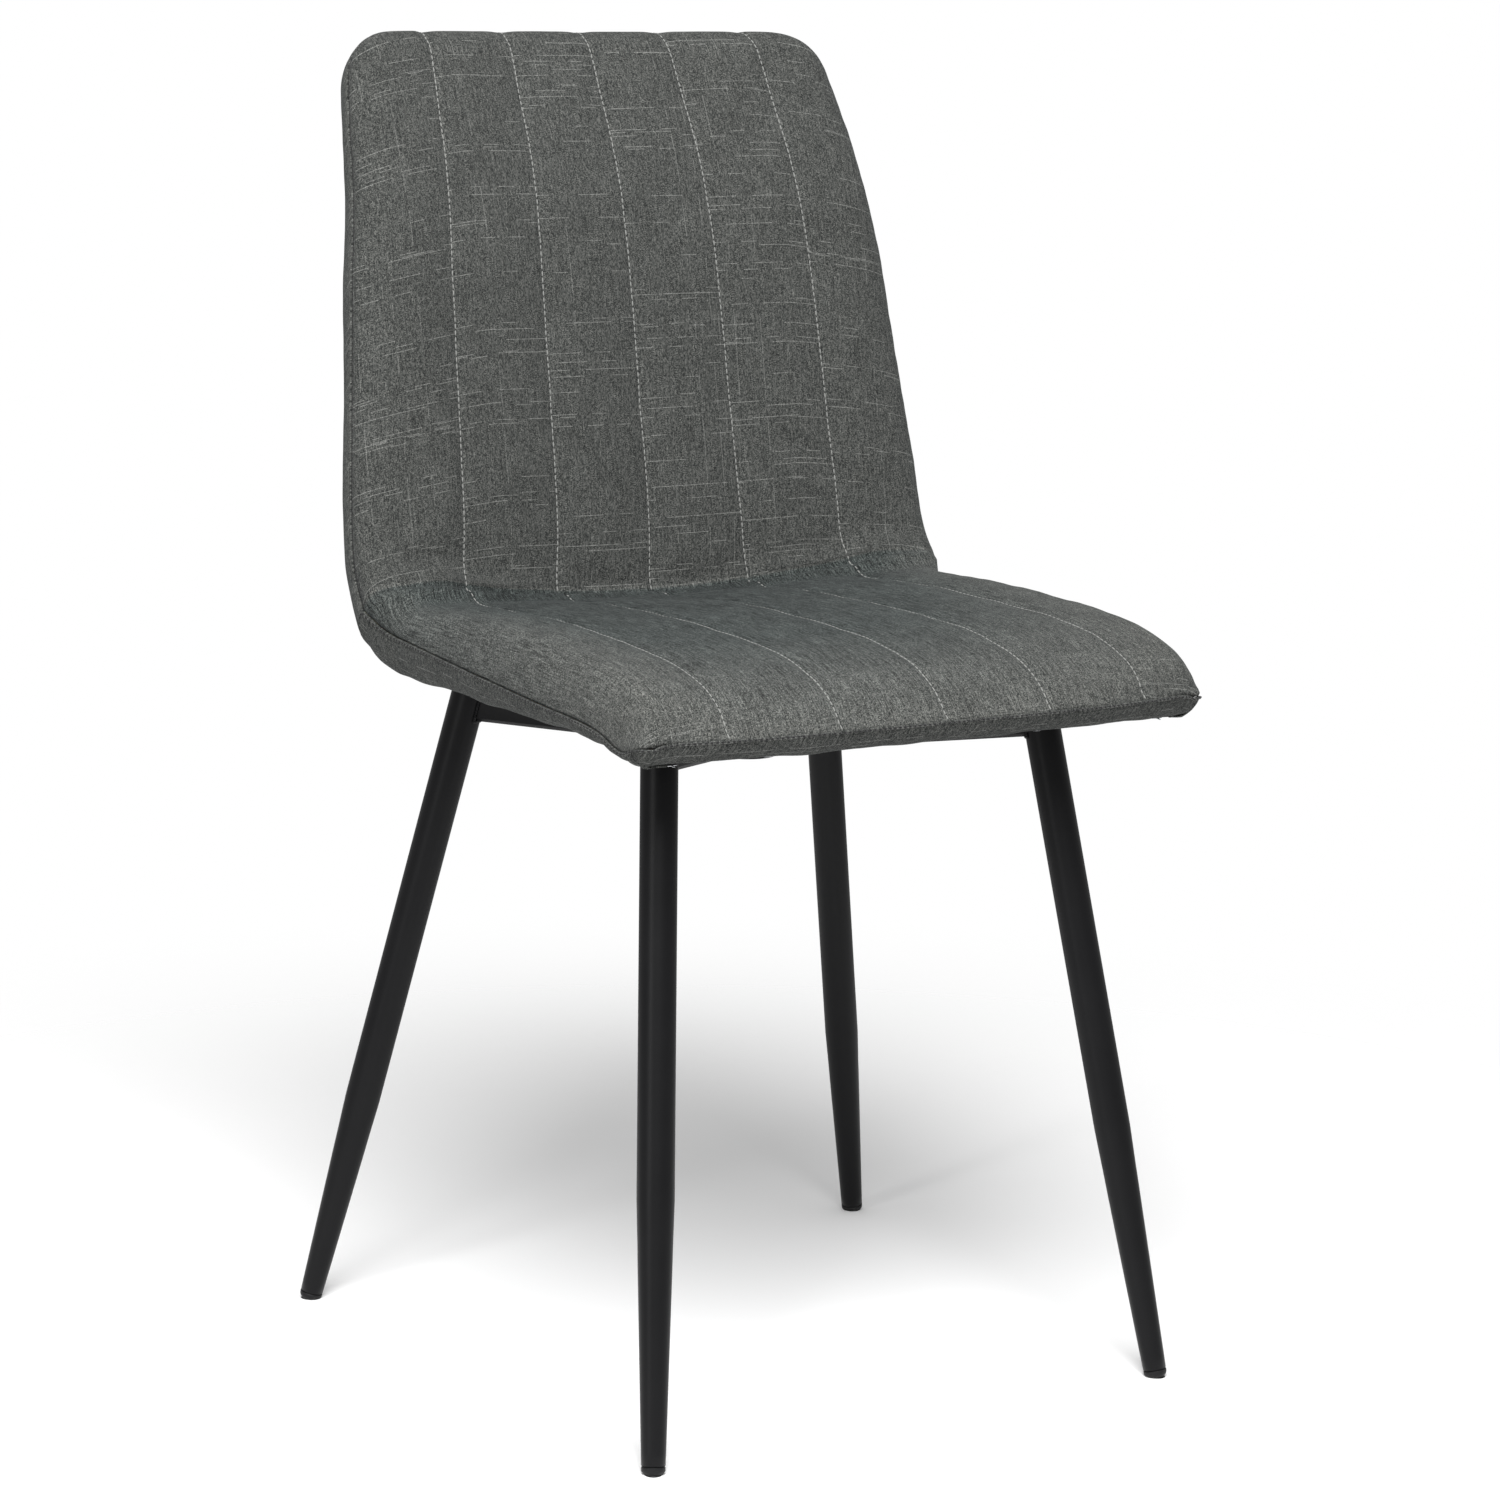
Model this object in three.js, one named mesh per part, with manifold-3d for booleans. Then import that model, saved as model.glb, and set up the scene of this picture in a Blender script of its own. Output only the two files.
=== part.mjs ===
// Upholstered dining chair on four splayed, tapered steel legs.
// Millimetres, +Z up, the sitter looks along -Y. The origin is on the floor under the middle.
import * as THREE from 'three';
import { mergeVertices } from 'three/addons/utils/BufferGeometryUtils.js';
import Module from 'manifold-3d';

const wasm = await Module();
wasm.setup();

// ---------- driving dimensions ----------
const GAP = 0.3;                    // clearance between neighbouring pieces

// side profile of the padded shell, in the plane of symmetry
const SEAT_FRONT = -254;            // front seam
const SEAM_HEIGHT = 468;
const LIP_LENGTH = 99;              // how far the rounded front lip reaches under the seat
const UNDERSIDE = 457;              // underside of the seat
const SEAT_TOP = 511;
const SEAT_REAR = 80;               // where the flat underside turns into the bend
const BEND_RADIUS = 90;             // outside of the bend between seat and back
const BACK_THICKNESS = 48;
const LOWER_RECLINE = 10.5;         // degrees from the vertical
const UPPER_RECLINE = 27.5;
const LOWER_BACK_LENGTH = 191;
const ROLL_RADIUS = 290;            // rear face of the top roll, between the two reclines
const UPPER_BACK_LENGTH = 50;
const EDGE_RADIUS = 24;             // rounded top edge
const SIDE_RADIUS = 21;             // rounded side edges
const FRONT_CORNER = 27;
const CORNER_SETBACK = 18;          // the front edge curves back this much towards its corners
const TOP_CORNER = 36;

// values at the eight stations along the profile: front seam, end of lip, rear of seat,
// end of bend, start of roll, end of roll, start of top edge, top edge
const HALF_WIDTH = [215, 217, 219, 229, 211, 198, 190, 188];
const BOW = [0, 0, 1e-4, 2.4e-4, 2.4e-4, 2.8e-4, 4e-4, 4.5e-4];  // sides come forward by BOW x^2
const LIFT = [0, 0, 1.2e-4, 1.5e-4, 0, 0, 0, 0];                 // seat sides rise by LIFT x^2
const SEAM_DEPTH = [15.5, 14, 28, 30, 32, 33, 33, 33];             // seam above the rear face
const PLY_DEPTH = [3, 3, 3, 7, 7, 7, 7, 7];                      // plywood above the rear face

const PLY = 11;
const FABRIC = 1.6;
const LINING = 1.0;
const HEM = 24;                     // fabric turned in under the seat
const SIDE_REACH = 16;              // how far the edge of the seat rounds under, at the sides
const FRONT_REACH = 10;             // and at the front
const FRONT_STEPS = 20;
const COVER_MARGIN = 22;            // lining under the seat, short of the side edges
const COVER_FRONT = 0.16;           // station where the lining starts
const PLY_MARGIN = 16;              // plywood short of the side edges
const COVER_SPLIT = 2.5;            // station where seat and back padding meet
const PLY_FRONT = 0.13;             // station where the plywood starts

// legs: foot centres, how far each leg leans in per millimetre of height, the height up to which it
// tapers, and the height where its frame arm meets it
const LEGS = {
  front: { x: 196.2, y: -233.5, inward: 0.111, along: 0.198, taper: 168, arm: 440.5 },
  rear: { x: 227.7, y: 192.3, inward: 0.196, along: -0.166, taper: 148, arm: 431 },
};
const LEG_DIAMETER = 24.2;
const FOOT_DIAMETER = 15.6;
const LEG_WALL = 1.5;
const GLIDE_HEIGHT = 5;
const GLIDE_STEM = 16;

// under-frame
const PLATE = 3;
const PLATE_REACH = 76;             // from the leg axis towards the middle
const PLATE_WIDE = 64;
const PLATE_NARROW = 32;
const BOLT_REACH = 60;
const BOLT_SPREAD = 22;
const ARM_HEIGHT = 22;
const ARM_WIDTH = 15;
const ARM_WALL = 1.5;
const ARM_HUB_HEIGHT = 419;
const HUB_Y = -11.3;
const HUB_RADIUS = 22;

// fasteners
const BOLT_RADIUS = 3;
const BOLT_HEAD_RADIUS = 5.5;
const BOLT_HEAD = 3.6;
const BOLT_LENGTH = 16;
const WASHER_RADIUS = 8;
const WASHER = 1.2;
const TNUT_RADIUS = 9.5;
const TNUT_FLANGE = 1.5;
const TNUT_BARREL = 3.9;

const plateTop = UNDERSIDE - GAP;
const plateBottom = plateTop - PLATE;
const legTop = plateBottom - GAP;

// ---------- finishes ----------
const finish = (color, roughness, metalness) =>
  new THREE.MeshStandardMaterial({ color, roughness, metalness });
const fabric = () => finish(0x585c5a, 0.95, 0);
const lining = () => finish(0x1b1b1c, 0.9, 0);
const foam = () => finish(0xd8d2b8, 0.95, 0);
const plywood = () => finish(0xc39a66, 0.7, 0);
const blackSteel = () => finish(0x17181a, 0.55, 0.4);
const zinc = () => finish(0xb4b7ba, 0.35, 1);
const blackPlastic = () => finish(0x121213, 0.6, 0);

// ---------- assembly helpers ----------
const chair = new THREE.Group();

function add(name, geometry, material) {
  const mesh = new THREE.Mesh(geometry, material);
  mesh.name = name;
  chair.add(mesh);
  return mesh;
}

function toSolid(geometry) {
  const bare = geometry.clone();
  bare.deleteAttribute('normal');
  bare.deleteAttribute('uv');
  const merged = mergeVertices(bare, 1e-4);
  return new wasm.Manifold(new wasm.Mesh({
    numProp: 3,
    vertProperties: new Float32Array(merged.attributes.position.array),
    triVerts: new Uint32Array(merged.index.array),
  }));
}

function fromSolid(solid) {
  const mesh = solid.simplify(0.01).getMesh();
  const geometry = new THREE.BufferGeometry();
  geometry.setAttribute('position', new THREE.BufferAttribute(mesh.vertProperties, 3));
  geometry.setIndex(new THREE.BufferAttribute(mesh.triVerts, 1));
  geometry.computeVertexNormals();
  return geometry;
}

// a turned piece, spun about +Z from (radius, height) pairs
function turned(points, segments) {
  const profile = points.map(([radius, height]) => new THREE.Vector2(radius, height));
  return new THREE.LatheGeometry(profile, segments).rotateX(Math.PI / 2);
}

// ---------- the padded shell ----------
const radians = THREE.MathUtils.degToRad;

function offsetPoint(origin, angle, distance) {
  return new THREE.Vector2(
    origin.x + distance * Math.cos(angle),
    origin.y + distance * Math.sin(angle),
  );
}

// Rear and front profiles in (y, z), each with one curve between two stations.
function makeProfiles() {
  const low = radians(LOWER_RECLINE);
  const high = radians(UPPER_RECLINE);
  const up = (angle) => Math.PI / 2 - angle;
  const ahead = (angle) => Math.PI - angle;

  const bend = new THREE.Vector2(SEAT_REAR, UNDERSIDE + BEND_RADIUS);
  const bendEnd = offsetPoint(bend, -low, BEND_RADIUS);
  const rollStart = offsetPoint(bendEnd, up(low), LOWER_BACK_LENGTH);
  const roll = offsetPoint(rollStart, -low, ROLL_RADIUS);
  const rollEnd = offsetPoint(roll, ahead(high), ROLL_RADIUS);
  const edgeStart = offsetPoint(rollEnd, up(high), UPPER_BACK_LENGTH);
  const edgeEnd = offsetPoint(edgeStart, up(high), EDGE_RADIUS);
  const lipEnd = SEAT_FRONT + 5 + LIP_LENGTH;

  const rear = new THREE.Path();
  rear.moveTo(SEAT_FRONT + 5, UNDERSIDE - 8);
  rear.quadraticCurveTo(SEAT_FRONT + 45, UNDERSIDE, lipEnd, UNDERSIDE);
  rear.lineTo(SEAT_REAR, UNDERSIDE);
  rear.absarc(bend.x, bend.y, BEND_RADIUS, -Math.PI / 2, -low, false);
  rear.lineTo(rollStart.x, rollStart.y);
  rear.absarc(roll.x, roll.y, ROLL_RADIUS, ahead(low), ahead(high), true);
  rear.lineTo(edgeStart.x, edgeStart.y);
  rear.lineTo(edgeEnd.x, edgeEnd.y);

  const thick = (point, angle) => offsetPoint(point, ahead(angle), BACK_THICKNESS);
  const front = new THREE.Path();
  front.moveTo(SEAT_FRONT, SEAM_HEIGHT);
  front.bezierCurveTo(-245, 491, -212, SEAT_TOP - 5, lipEnd, SEAT_TOP - 1.5);
  front.bezierCurveTo(-80, SEAT_TOP + 2, 20, SEAT_TOP, SEAT_REAR, SEAT_TOP - 8.5);
  const creaseEnd = thick(bendEnd, low);
  front.quadraticCurveTo(117, SEAT_TOP - 20, creaseEnd.x, creaseEnd.y);
  front.lineTo(thick(rollStart, low).x, thick(rollStart, low).y);
  front.absarc(roll.x, roll.y, ROLL_RADIUS + BACK_THICKNESS, ahead(low), ahead(high), true);
  front.lineTo(thick(edgeStart, high).x, thick(edgeStart, high).y);
  front.lineTo(thick(edgeEnd, high).x, thick(edgeEnd, high).y);

  // absarc joins itself to the previous point with an empty line, which is no station
  const stretches = (path) => path.curves.filter((curve) => curve.getLength() > 0.01);
  return { rear: stretches(rear), front: stretches(front) };
}

const profiles = makeProfiles();

function profilePoint(curves, station) {
  const index = Math.min(Math.floor(station), curves.length - 1);
  return curves[index].getPoint(station - index);
}

function between(values, station) {
  const index = Math.min(Math.floor(station), values.length - 2);
  return THREE.MathUtils.lerp(values[index], values[index + 1], station - index);
}

function thickness(station) {
  const rear = profilePoint(profiles.rear, station);
  return profilePoint(profiles.front, station).distanceTo(rear);
}

function seamDepth(station) {
  return Math.min(between(SEAM_DEPTH, station), 0.8 * thickness(station));
}

// how much a corner of the given radius takes off the half width
function cornerLoss(radius, distance) {
  const inside = Math.max(0, radius - distance);
  return radius - Math.sqrt(radius * radius - inside * inside);
}

function halfWidth(station) {
  const front = cornerLoss(FRONT_CORNER, station * LIP_LENGTH);
  const fromEdge = (6 - station) * (station > 6 ? EDGE_RADIUS : UPPER_BACK_LENGTH);
  const top = cornerLoss(TOP_CORNER, EDGE_RADIUS + fromEdge);
  return between(HALF_WIDTH, station) - front - (station > 5.5 ? top : 0);
}

// a point at a given sideways place, station and depth above the rear face
function shellPoint(x, station, depth) {
  const rear = profilePoint(profiles.rear, station);
  const front = profilePoint(profiles.front, station);
  const share = depth / front.distanceTo(rear);
  const setback = CORNER_SETBACK * (x / HALF_WIDTH[0]) ** 4 * Math.exp(-((station / 0.35) ** 2));
  const y = rear.x + share * (front.x - rear.x) - between(BOW, station) * x * x + setback;
  const z = rear.y + share * (front.y - rear.y + between(LIFT, station) * x * x);
  return new THREE.Vector3(x, y, z);
}

const FLAT = 0.62;                  // share of the width before the side edge starts to round

// Follows the padding round its side and top edges: side runs from -1 to 1 across the chair,
// and the depth falls from the face to the seam over the rounded edge.
function facePoint(side, station, inset, depthAt) {
  const over = Math.max(0, station - 6) * Math.PI / 2;
  const place = station > 6 ? 6 + Math.sin(over) * (1 - inset / EDGE_RADIUS) : station;
  const half = halfWidth(place) - inset;
  const radius = SIDE_RADIUS - inset;
  const turn = Math.max(0, (Math.abs(side) - FLAT) / (1 - FLAT)) * Math.PI / 2;
  const reach = turn > 0
    ? half - radius + radius * Math.sin(turn)
    : Math.abs(side) / FLAT * (half - radius);
  const fall = Math.cos(turn) * Math.cos(over);
  return shellPoint(Math.sign(side) * reach, place, depthAt(place, fall));
}

const frontFace = (inset) => (side, station) => facePoint(side, station, inset, (place, fall) => {
  const seam = seamDepth(place);
  return seam + (thickness(place) - inset - seam) * fall;
});

const rearFace = (inset) => (side, station) => facePoint(side, station, inset, (place, fall) => {
  const seam = seamDepth(place) - 2 * GAP;
  return seam - (seam - inset) * fall;
});

// a plain sheet between the edges, at its own depth, drawn in from the side edges
const innerFace = (margin, depthAt) => (side, station) => {
  const place = station > 6 ? 6 + (station - 6) * (1 - margin / EDGE_RADIUS) : station;
  const flat = Math.min(1, Math.abs(side) / FLAT) * (halfWidth(place) - SIDE_RADIUS);
  const edge = Math.max(0, (Math.abs(side) - FLAT) / (1 - FLAT)) * (SIDE_RADIUS - margin);
  return shellPoint(Math.sign(side) * (flat + edge), place, depthAt(place));
};

// Every layer is divided at the same stations, so that neighbouring facets stay parallel.
const CORNER_STATION = FRONT_CORNER / LIP_LENGTH;
const STATIONS = [0, 0.04, PLY_FRONT, CORNER_STATION];
for (let station = 0.5; station <= 7; station += station < 2 || station >= 3 ? 0.25 : 0.125) {
  if (station < 3 || station >= 5 || station % 0.5 === 0) STATIONS.push(station);
}

const stationsBetween = (from, to) =>
  [from, ...STATIONS.filter((station) => station > from + 0.005 && station < to - 0.005), to];

// A closed body between two faces: a box whose six sides are bent onto them.
function layer(lower, upper, steps, columns = 14) {
  const rows = steps.length - 1;
  const box = new THREE.BoxGeometry(2, 1, 1, columns, rows, 1);
  const place = box.attributes.position;
  for (let i = 0; i < place.count; i += 1) {
    const face = place.getZ(i) < 0 ? lower : upper;
    const step = steps[Math.round((place.getY(i) + 0.5) * rows)];
    const point = face(place.getX(i), step);
    place.setXYZ(i, point.x, point.y, point.z);
  }
  box.computeVertexNormals();
  return box;
}

const plyLower = (station) => between(PLY_DEPTH, station);
const plyUpper = (station) => plyLower(station) + PLY;
const foamLower = (station) => plyUpper(station) + GAP;

// ---------- where the bolts go ----------
function legPoint(leg, side, height) {
  return new THREE.Vector3(
    side * (leg.x - leg.inward * height),
    leg.y + leg.along * height,
    height,
  );
}

const corners = [];
for (const [place, leg] of Object.entries(LEGS)) {
  for (const [hand, side] of [['left', -1], ['right', 1]]) {
    const top = legPoint(leg, side, legTop);
    const inward = new THREE.Vector3(-top.x, HUB_Y - top.y, 0).normalize();
    const across = new THREE.Vector3(-inward.y, inward.x, 0);
    const bolts = [-1, 1].map((way) => top.clone()
      .addScaledVector(inward, BOLT_REACH)
      .addScaledVector(across, way * BOLT_SPREAD));
    corners.push({ name: `${place}_${hand}`, leg, side, top, inward, across, bolts });
  }
}
const allBolts = corners.flatMap((corner) => corner.bolts);

function rod(point, radius, bottom, top, segments = 12) {
  return toSolid(turned([[0, bottom], [radius, bottom], [radius, top], [0, top]], segments)
    .translate(point.x, point.y, 0));
}

// ---------- shell pieces ----------
function plywoodShell() {
  let solid = toSolid(layer(
    innerFace(PLY_MARGIN, plyLower), innerFace(PLY_MARGIN, plyUpper),
    stationsBetween(PLY_FRONT, 7)));
  const top = UNDERSIDE + PLY_DEPTH[0] + PLY;
  for (const bolt of allBolts) {
    solid = solid.subtract(rod(bolt, TNUT_BARREL + GAP, UNDERSIDE - 5, top + 10));
    solid = solid.subtract(rod(bolt, TNUT_RADIUS + GAP, top - TNUT_FLANGE - GAP, top + 10));
  }
  return fromSolid(solid);
}

function dustCover() {
  let solid = toSolid(layer(
    innerFace(COVER_MARGIN, () => 0), innerFace(COVER_MARGIN, () => LINING),
    stationsBetween(COVER_FRONT, COVER_SPLIT - 0.02)));
  for (const bolt of allBolts) {
    solid = solid.subtract(rod(bolt, BOLT_RADIUS + 1, UNDERSIDE - 5, UNDERSIDE + 5));
  }
  return fromSolid(solid);
}

const foamPad = (from, to) => layer(
  innerFace(PLY_MARGIN - 3, foamLower), frontFace(FABRIC + 5 * GAP), stationsBetween(from, to));

// Strip of fabric round the seat edge: down from the seam, then turned in under the seat.
// outline(step) gives its place (x, station), the way inwards, its seam and its rounding.
function band(outline, steps) {
  const face = (inset) => (across, along) => {
    const { x, station, nx, ny, seam, reach } = outline(along);
    const share = (across + 1) / 2;
    const turn = Math.min(1, share / 0.6) * Math.PI / 2;
    const tuck = Math.max(0, share - 0.6) / 0.4 * (HEM - reach);
    const inward = reach - (reach - inset) * Math.cos(turn) + tuck;
    const bottom = LINING + GAP + inset;
    const depth = seam - (seam - bottom) * Math.sin(turn);
    return shellPoint(x + nx * inward, station + ny * inward / LIP_LENGTH, depth);
  };
  return layer(face(0), face(FABRIC - 0.2), steps, 7);
}

const sideOutline = (side) => (station) => ({
  x: side * halfWidth(station),
  station,
  nx: -side,
  ny: 0,
  seam: seamDepth(station) - 2 * GAP,
  reach: SIDE_REACH,
});

// from the right side round both corners to the left side
function frontOutline(along) {
  const side = along < 0.5 ? 1 : -1;
  const share = Math.min(along, 1 - along) * 2;
  const angle = Math.min(1, share / 0.4) * Math.PI / 2;
  const straight = Math.max(0, share - 0.4) / 0.6;
  const centre = halfWidth(0) * (1 - straight);
  const x = centre + FRONT_CORNER * Math.cos(angle);
  const station = CORNER_STATION * (1 - Math.sin(angle));
  const over = Math.max(0, centre - halfWidth(0) + SIDE_RADIUS) / SIDE_RADIUS;
  const fall = angle < Math.PI / 2 ? 0 : Math.sqrt(1 - over * over);
  const low = seamDepth(station);
  const seam = low + (thickness(station) - FABRIC - low) * fall - 2 * GAP;
  const reach = THREE.MathUtils.lerp(SIDE_REACH, FRONT_REACH, Math.sin(angle));
  return { x: side * x, station, nx: -side * Math.cos(angle), ny: Math.sin(angle), seam, reach };
}

// ---------- under-frame pieces ----------
function alongAxis(geometry, origin, direction) {
  const turn = new THREE.Quaternion().setFromUnitVectors(new THREE.Vector3(0, 0, 1), direction);
  return geometry.applyQuaternion(turn).translate(origin.x, origin.y, origin.z);
}

function legAxis({ leg, side }) {
  const foot = legPoint(leg, side, 0);
  const direction = legPoint(leg, side, 1).sub(foot);
  const slant = direction.length();
  return { foot, direction: direction.normalize(), slant };
}

// tapered tube, open at both ends, square to its own axis
function legTube(corner) {
  const { foot, direction, slant } = legAxis(corner);
  const wide = LEG_DIAMETER / 2;
  const narrow = FOOT_DIAMETER / 2;
  const start = GLIDE_HEIGHT * slant;
  const end = legTop * slant - wide * Math.tan(Math.acos(1 / slant));
  const taper = corner.leg.taper * slant;
  const profile = [
    [narrow, start], [wide, taper], [wide, end],
    [wide - LEG_WALL, end], [wide - LEG_WALL, taper], [narrow - LEG_WALL, start],
    [narrow, start],
  ];
  return alongAxis(turned(profile, 18), foot, direction);
}

// plug in the end of the tube, with its foot cut level with the floor
function glide(corner) {
  const { foot, direction, slant } = legAxis(corner);
  const narrow = FOOT_DIAMETER / 2;
  const stem = narrow - LEG_WALL - GAP;
  const shoulder = GLIDE_HEIGHT * slant - GAP;
  const profile = [
    [0, -5], [narrow - 2.2, -5], [narrow - 1.2, 0], [narrow, 2.2], [narrow, shoulder],
    [stem, shoulder], [stem, shoulder + GLIDE_STEM], [0, shoulder + GLIDE_STEM],
  ];
  const floor = new THREE.BoxGeometry(60, 60, 20).translate(foot.x, foot.y, -10);
  const plug = toSolid(alongAxis(turned(profile, 18), foot, direction));
  return fromSolid(plug.subtract(toSolid(floor)));
}

// closed outline through the points, with every corner rounded
function roundedShape(points, radius) {
  const shape = new THREE.Shape();
  const corner = points.map(([x, y]) => new THREE.Vector2(x, y));
  const towards = (from, to) => from.clone().add(to.clone().sub(from).setLength(radius));
  corner.forEach((point, i) => {
    const before = towards(point, corner.at(i - 1));
    const after = towards(point, corner[(i + 1) % corner.length]);
    if (i === 0) shape.moveTo(before.x, before.y);
    else shape.lineTo(before.x, before.y);
    shape.quadraticCurveTo(point.x, point.y, after.x, after.y);
  });
  shape.closePath();
  return shape;
}

function mountingPlate({ top, inward, across }) {
  const near = -PLATE_NARROW / 2;
  const shape = roundedShape([
    [near, -PLATE_NARROW / 2], [PLATE_REACH, -PLATE_WIDE / 2],
    [PLATE_REACH, PLATE_WIDE / 2], [near, PLATE_NARROW / 2],
  ], 9);
  for (const way of [-1, 1]) {
    const hole = new THREE.Path();
    hole.absarc(BOLT_REACH, way * BOLT_SPREAD, BOLT_RADIUS + GAP, 0, Math.PI * 2, true);
    shape.holes.push(hole);
  }
  const cut = { depth: PLATE, bevelEnabled: false, curveSegments: 4 };
  const plate = new THREE.ExtrudeGeometry(shape, cut);
  const place = new THREE.Matrix4().makeBasis(inward, across, new THREE.Vector3(0, 0, 1));
  return plate.applyMatrix4(place.setPosition(top.x, top.y, plateBottom));
}

// rectangular tube from a leg down to the hub, coped round both
function frameArm(corner) {
  const start = legPoint(corner.leg, corner.side, corner.leg.arm);
  const end = new THREE.Vector3(0, HUB_Y, ARM_HUB_HEIGHT);
  const length = start.distanceTo(end);
  const along = end.clone().sub(start).normalize();
  const across = new THREE.Vector3(0, 0, 1).cross(along).normalize();
  const up = along.clone().cross(across);
  const section = (inset, radius) => {
    const x = ARM_WIDTH / 2 - inset;
    const y = ARM_HEIGHT / 2 - inset;
    return roundedShape([[-x, -y], [x, -y], [x, y], [-x, y]], radius);
  };
  const outline = section(0, 2.5);
  outline.holes.push(section(ARM_WALL, 1));
  const tube = new THREE.ExtrudeGeometry(
    outline, { depth: length, bevelEnabled: false, curveSegments: 1 });
  tube.applyMatrix4(new THREE.Matrix4().makeBasis(across, up, along).setPosition(start));
  const { foot, direction } = legAxis(corner);
  const cope = LEG_DIAMETER / 2 + GAP;
  const core = turned([[0, 0], [cope, 0], [cope, 600], [0, 600]], 24);
  const legCore = toSolid(alongAxis(core, foot, direction));
  const hubCore = rod(end, HUB_RADIUS + GAP, ARM_HUB_HEIGHT - 40, ARM_HUB_HEIGHT + 40, 24);
  return fromSolid(toSolid(tube).subtract(legCore).subtract(hubCore));
}

function centreHub() {
  const half = ARM_HEIGHT / 2 + 2;
  const inner = HUB_RADIUS - 2.5;
  return turned([
    [inner, -half], [HUB_RADIUS, -half], [HUB_RADIUS, half], [inner, half], [inner, -half],
  ], 24);
}

// ---------- fasteners ----------
const washerTop = plateBottom - GAP;
const headTop = washerTop - WASHER - GAP;

function bolt() {
  const head = headTop - BOLT_HEAD;
  const tip = headTop + BOLT_LENGTH;
  return turned([
    [0, head], [BOLT_HEAD_RADIUS - 1.2, head], [BOLT_HEAD_RADIUS, head + 1.2],
    [BOLT_HEAD_RADIUS, headTop], [BOLT_RADIUS, headTop], [BOLT_RADIUS, tip - 0.8],
    [BOLT_RADIUS - 0.8, tip], [0, tip],
  ], 10);
}

function washer() {
  const hole = BOLT_RADIUS + GAP;
  const bottom = washerTop - WASHER;
  return turned([
    [hole, bottom], [WASHER_RADIUS, bottom], [WASHER_RADIUS, washerTop], [hole, washerTop],
    [hole, bottom],
  ], 12);
}

function tNut() {
  const hole = BOLT_RADIUS + GAP;
  const top = UNDERSIDE + PLY_DEPTH[0] + PLY;
  const flange = top - TNUT_FLANGE;
  const bottom = flange - 8;
  return turned([
    [hole, bottom], [TNUT_BARREL, bottom], [TNUT_BARREL, flange], [TNUT_RADIUS, flange],
    [TNUT_RADIUS, top], [hole, top], [hole, bottom],
  ], 10);
}

// ---------- the chair ----------
function addUpholstery() {
  add('plywood_shell', plywoodShell(), plywood());
  add('seat_foam', foamPad(PLY_FRONT, COVER_SPLIT - 0.01), foam());
  add('back_foam', foamPad(COVER_SPLIT + 0.01, 7), foam());
  const back = stationsBetween(COVER_SPLIT, 7);
  const wadding = layer(
    rearFace(FABRIC + 2 * GAP), innerFace(PLY_MARGIN - 3, (station) => plyLower(station) - 2 * GAP),
    back);
  add('back_wadding', wadding, foam());
  add('front_cover', layer(frontFace(FABRIC), frontFace(0), STATIONS), fabric());
  add('rear_cover', layer(rearFace(0), rearFace(FABRIC), back), fabric());
  const side = stationsBetween(CORNER_STATION + 0.01, COVER_SPLIT - 0.02);
  add('left_side_band', band(sideOutline(-1), side), fabric());
  add('right_side_band', band(sideOutline(1), side.toReversed()), fabric());
  const front = Array.from({ length: FRONT_STEPS + 1 }, (_, i) => i / FRONT_STEPS);
  add('front_band', band(frontOutline, front), fabric());
  add('dust_cover', dustCover(), lining());
}

function addFrame() {
  for (const corner of corners) {
    add(`${corner.name}_leg`, legTube(corner), blackSteel());
    add(`${corner.name}_glide`, glide(corner), blackPlastic());
    add(`${corner.name}_plate`, mountingPlate(corner), blackSteel());
    add(`${corner.name}_arm`, frameArm(corner), blackSteel());
  }
  add('centre_hub', centreHub(), blackSteel()).position.set(0, HUB_Y, ARM_HUB_HEIGHT);
}

function addFasteners() {
  for (const { name, bolts } of corners) {
    bolts.forEach((place, i) => {
      const position = new THREE.Vector3(place.x, place.y, 0);
      add(`${name}_bolt_${i + 1}`, bolt(), zinc()).position.copy(position);
      add(`${name}_washer_${i + 1}`, washer(), zinc()).position.copy(position);
      add(`${name}_tee_nut_${i + 1}`, tNut(), zinc()).position.copy(position);
    });
  }
}

addUpholstery();
addFrame();
addFasteners();

// stand the chair over the origin, halfway along its depth
const extent = new THREE.Box3().setFromObject(chair);
chair.position.y = -(extent.min.y + extent.max.y) / 2;

export default chair;
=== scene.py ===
import math

import bmesh
import bpy
import numpy as np
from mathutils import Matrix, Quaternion, Vector


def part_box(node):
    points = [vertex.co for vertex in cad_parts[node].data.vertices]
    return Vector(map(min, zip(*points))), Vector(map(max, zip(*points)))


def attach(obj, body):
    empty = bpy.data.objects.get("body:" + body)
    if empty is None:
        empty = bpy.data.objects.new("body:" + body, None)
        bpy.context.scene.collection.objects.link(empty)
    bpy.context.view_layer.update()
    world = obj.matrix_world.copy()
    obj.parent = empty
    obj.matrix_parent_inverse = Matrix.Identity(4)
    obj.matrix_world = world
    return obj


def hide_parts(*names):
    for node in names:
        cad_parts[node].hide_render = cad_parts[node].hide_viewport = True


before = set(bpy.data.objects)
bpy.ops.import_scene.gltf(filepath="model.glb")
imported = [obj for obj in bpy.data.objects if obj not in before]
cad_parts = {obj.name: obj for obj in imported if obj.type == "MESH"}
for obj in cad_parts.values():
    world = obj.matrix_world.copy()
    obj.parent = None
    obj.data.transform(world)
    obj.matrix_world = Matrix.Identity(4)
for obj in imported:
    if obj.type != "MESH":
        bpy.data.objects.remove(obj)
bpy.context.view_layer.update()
scene = bpy.context.scene

# Lengths are in millimetres and become metres when a mesh is made.
MM = 0.001
SET_BACK = -1.22  # the chair is centred over the origin by this much

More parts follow.
